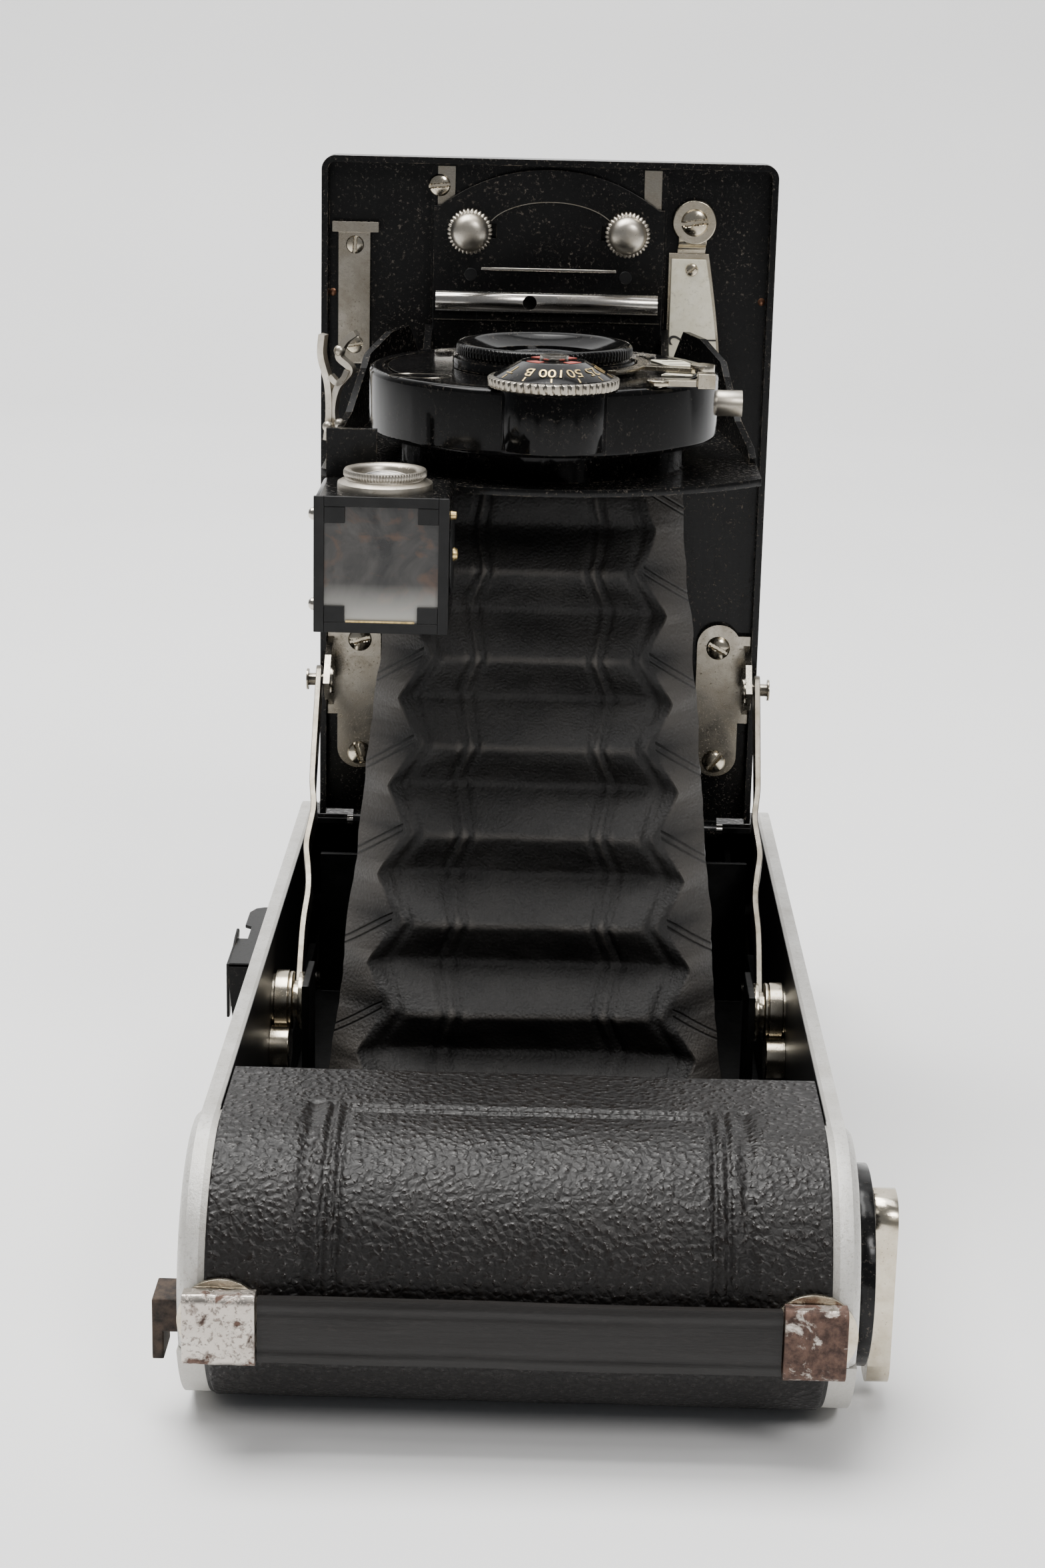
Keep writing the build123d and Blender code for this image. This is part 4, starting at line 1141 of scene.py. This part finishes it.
def domed_screw(x, y, z, radius, height, turn):
    """A raised screw head facing -Y, with its slot cut across at an angle."""
    bm = bmesh.new()
    rings, steps = 9, 48
    grid = []
    for i in range(rings + 1):
        r = radius * (1 - i / rings)
        line = []
        for k in range(steps):
            a = 2 * pi * k / steps
            u, v = r * cos(a), r * sin(a)
            h = height * sqrt(max(0.0, 1 - (r / radius) ** 2)) ** 0.8 + 0.1
            if abs(u * sin(turn) - v * cos(turn)) < radius * 0.17:
                h = min(h, height * 0.25)
            line.append(bm.verts.new((x + u, y - h, z + v)))
        grid.append(line)
    tube(bm, grid, capped=False)
    bmesh.ops.remove_doubles(bm, verts=bm.verts, dist=SAME_POINT)
    return bm


SCREWS = [(-29, 58, 66, 1.9, 1.0, 0.3), (29, 58, 66, 1.9, 1.0, -0.5), (-29, 58, 47, 1.9, 1.0, 1.9),
          (29, 58, 47, 1.9, 1.0, 0.9), (-30.2, 58.5, 129, 1.4, 0.3, 1.5),
          (-30.2, 58.5, 113.5, 1.4, 0.3, 0.2), (22.6, 57.9, 133.6, 2.1, 0.8, 0.15),
          (22.4, 57.85, 126.4, 1.0, 0.4, 0.6), (-17.1, 58.3, 138.4, 1.7, 0.7, 0.1)]
screw_heads = merged(*[domed_screw(*screw) for screw in SCREWS])
put("bed_screw_heads", screw_heads, WARM_NICKEL, "nickel", "bed", "bed_screws", angle=28)


STUD_Y, STUD_Z = -0.5, 25.3
STRUT_TOP, STRUT_FOOT = Vector((35.0, 51.5, 60.8)), Vector((33.5, STUD_Y, STUD_Z))
STRUT_HALF, STRUT_THICK = 2.3, 0.9


def stud_stack(side):
    """The strut's lower stud: a wide brushed drum outside the strut and a thin disc inside it."""
    drum = [(0, 0), (4.1, 0), (4.3, 0.15), (4.3, 0.5), (4.2, 0.6), (4.4, 0.75), (4.4, 2.6), (3.8, 2.7),
            (3.8, 3.1), (0, 3.1)]
    disc = [(0, 0), (3.9, 0), (4.1, 0.15), (4.1, 0.75), (3.9, 0.9), (1.5, 0.95), (1.5, 2.6), (0, 2.6)]
    return merged(*[lathe(form, 72, (side * start, STUD_Y, STUD_Z), "X", side < 0)
                    for form, start in ((drum, 34.15), (disc, 31.6))])


studs = merged(stud_stack(-1), stud_stack(1))
put("stud_collars", studs, WARM_NICKEL, "nickel", "body", bevel=0.08, angle=40)


def strut_bar(side):
    """A flat steel strut, seen edge-on from the front, with shallow joggles in its lower half."""
    run = STRUT_FOOT - STRUT_TOP
    along = run.normalized()
    reach = STRUT_HALF / run.length
    path = []
    for t in spread(-reach, 1 + reach, 90):
        joggle = 0.25 * groove(t - 0.56, 0.04) - 0.5 * (groove(t - 0.44, 0.055) + groove(t - 0.69, 0.075))
        point = STRUT_TOP + run * t + Vector((joggle, 0, 0))
        path.append((side * point.x, point.y, point.z))

    def half(t):
        edge = min(t, 1 - t) * (1 + 2 * reach) / reach
        if edge < 1:
            return STRUT_HALF * sqrt(max(0.05, 1 - (1 - edge) ** 2))
        return STRUT_HALF - 0.35 * groove(t - 0.5, 0.3)
    return ribbon(path, half, STRUT_THICK, (0, -along.z, along.y))


for side, name in ((-1, "left"), (1, "right")):
    put("strut_bar_" + name, strut_bar(side), STRUT_NICKEL_PAINTED_SHADE, "bright_steel", name + "_strut",
        "strut_" + name, bevel=0.12, angle=40)


def lower_boss(side):
    """The bed pivot's boss, below and behind the strut's stud."""
    form = [(0, 0), (3.0, 0), (3.2, 0.2), (3.2, 2.9), (0, 2.9)]
    return lathe(form, 64, (side * 34.3, -4.6, 19.6), "X", side < 0)


bosses = merged(lower_boss(-1), lower_boss(1))
put("lower_bosses", bosses, WARM_NICKEL, "nickel", "body", bevel=0.08, angle=40)


CATCH_TOP, CATCH_OUTER, CATCH_INNER = 33.3, -42.9, -39.6


def catch_sheet():
    """The thin folded catch: a notched top, a tapering near face and an outer blade that ends in a hook."""
    top = slab([(CATCH_INNER, -8), (CATCH_OUTER, -8), (CATCH_OUTER, 3.4), (-41.4, 3.4), (-41.4, 8.6),
                (-42.4, 9.4), (-42.4, 15.5), (-41.6, 17.4), (-40.4, 18), (CATCH_INNER, 18)],
               CATCH_TOP - 0.5, CATCH_TOP)
    near = upright([(CATCH_INNER, CATCH_TOP), (-43.0, CATCH_TOP), (CATCH_OUTER, 31), (-42.4, 25.2),
                    (CATCH_INNER, 25.0)], -8.0, -7.5)
    blade = edgeways([(-8, 25.2), (-6.8, 25.0), (-3, 28.6), (3.4, 31.0), (6.0, 33.6), (5.2, 34.2),
                      (2.2, 33.9), (0, CATCH_TOP), (-8, CATCH_TOP)], -43.2, -42.8)
    foot = brick(-40.0, -39.5, -8, 18, 28.0, CATCH_TOP - 0.1)
    return merged(top, near, blade, foot)


put("side_catch_sheet", catch_sheet(), CATCH_BLACK, "black_enamel", "body", "side_catch", bevel=0.12,
    angle=40)


# ---- floor, light and camera

def floor():
    """A pale table top that curves up into a pale wall far behind. Metres."""
    side, wall_y, curve, top = 2.5, 0.9, 0.15, 2.4
    turns = [radians(a) for a in range(0, 91, 10)]
    profile = [(-side, 0.0)]
    profile += [(wall_y - curve + curve * sin(a), curve - curve * cos(a)) for a in turns]
    profile += [(wall_y, top)]
    bm = bmesh.new()
    sheet(bm, [[bm.verts.new((x, y, z - 0.0005)) for x in (-side, side)] for y, z in profile])
    mesh = smooth_mesh("floor", bm)
    p = Paint("pale_floor", Roughness=0.6)
    tone = p.ramp(p.noise(0.004, 3), [(0.3, 0.80), (0.7, 0.86)])
    mesh.materials.append(p.finish(tone, None, p.bump(p.noise(0.25, 3), 0.05, 0.15)))
    add_object("floor", mesh)


def lamp(name, place_at, look_at, size, power, colour=(1, 1, 1)):
    light = bpy.data.lights.new(name, "AREA")
    light.size = size
    light.energy = power
    light.color = colour
    holder = add_object(name, light)
    holder.location = place_at
    holder.rotation_euler = (Vector(look_at) - Vector(place_at)).to_track_quat("-Z", "Y").to_euler()


def studio():
    world = bpy.data.worlds.new("studio")
    bpy.context.scene.world = world
    world.use_nodes = True
    sky = world.node_tree.nodes["Background"]
    sky.inputs["Color"].default_value = (0.92, 0.95, 1.0, 1)
    sky.inputs["Strength"].default_value = 0.22
    lamp("key_light", (-0.25, 0.05, 1.0), (0, 0.05, 0), 0.7, 19.0, (1, 0.99, 0.97))
    lamp("front_light", (0.45, -0.75, 0.85), (0, 0, 0.05), 0.3, 6.0, (1, 0.98, 0.96))
    lamp("wall_light", (0.0, 0.35, 1.3), (0, 0.9, 0.35), 1.0, 12.0)


def camera():
    """The photo's viewpoint: in front of the near end, looking down at 16 degrees."""
    yaw, pitch, roll = (radians(a) for a in (-0.525, 15.855, 1.312))
    forward = Vector((sin(yaw) * cos(pitch), cos(yaw) * cos(pitch), -sin(pitch)))
    right = Vector((cos(yaw), -sin(yaw), 0))
    up = right.cross(forward)
    across = right * cos(roll) + up * sin(roll)
    above = up * cos(roll) - right * sin(roll)
    data = bpy.data.cameras.new("photo_camera")
    data.lens = 64.56
    data.sensor_fit = "VERTICAL"
    data.sensor_height = 36
    data.clip_start = 0.01
    holder = add_object("photo_camera", data)
    pose = Matrix((across, above, -forward)).transposed().to_4x4()
    pose.translation = Vector((1.93, -386.2, 168.5)) * MM
    holder.matrix_world = pose
    bpy.context.scene.camera = holder


floor()
studio()
camera()
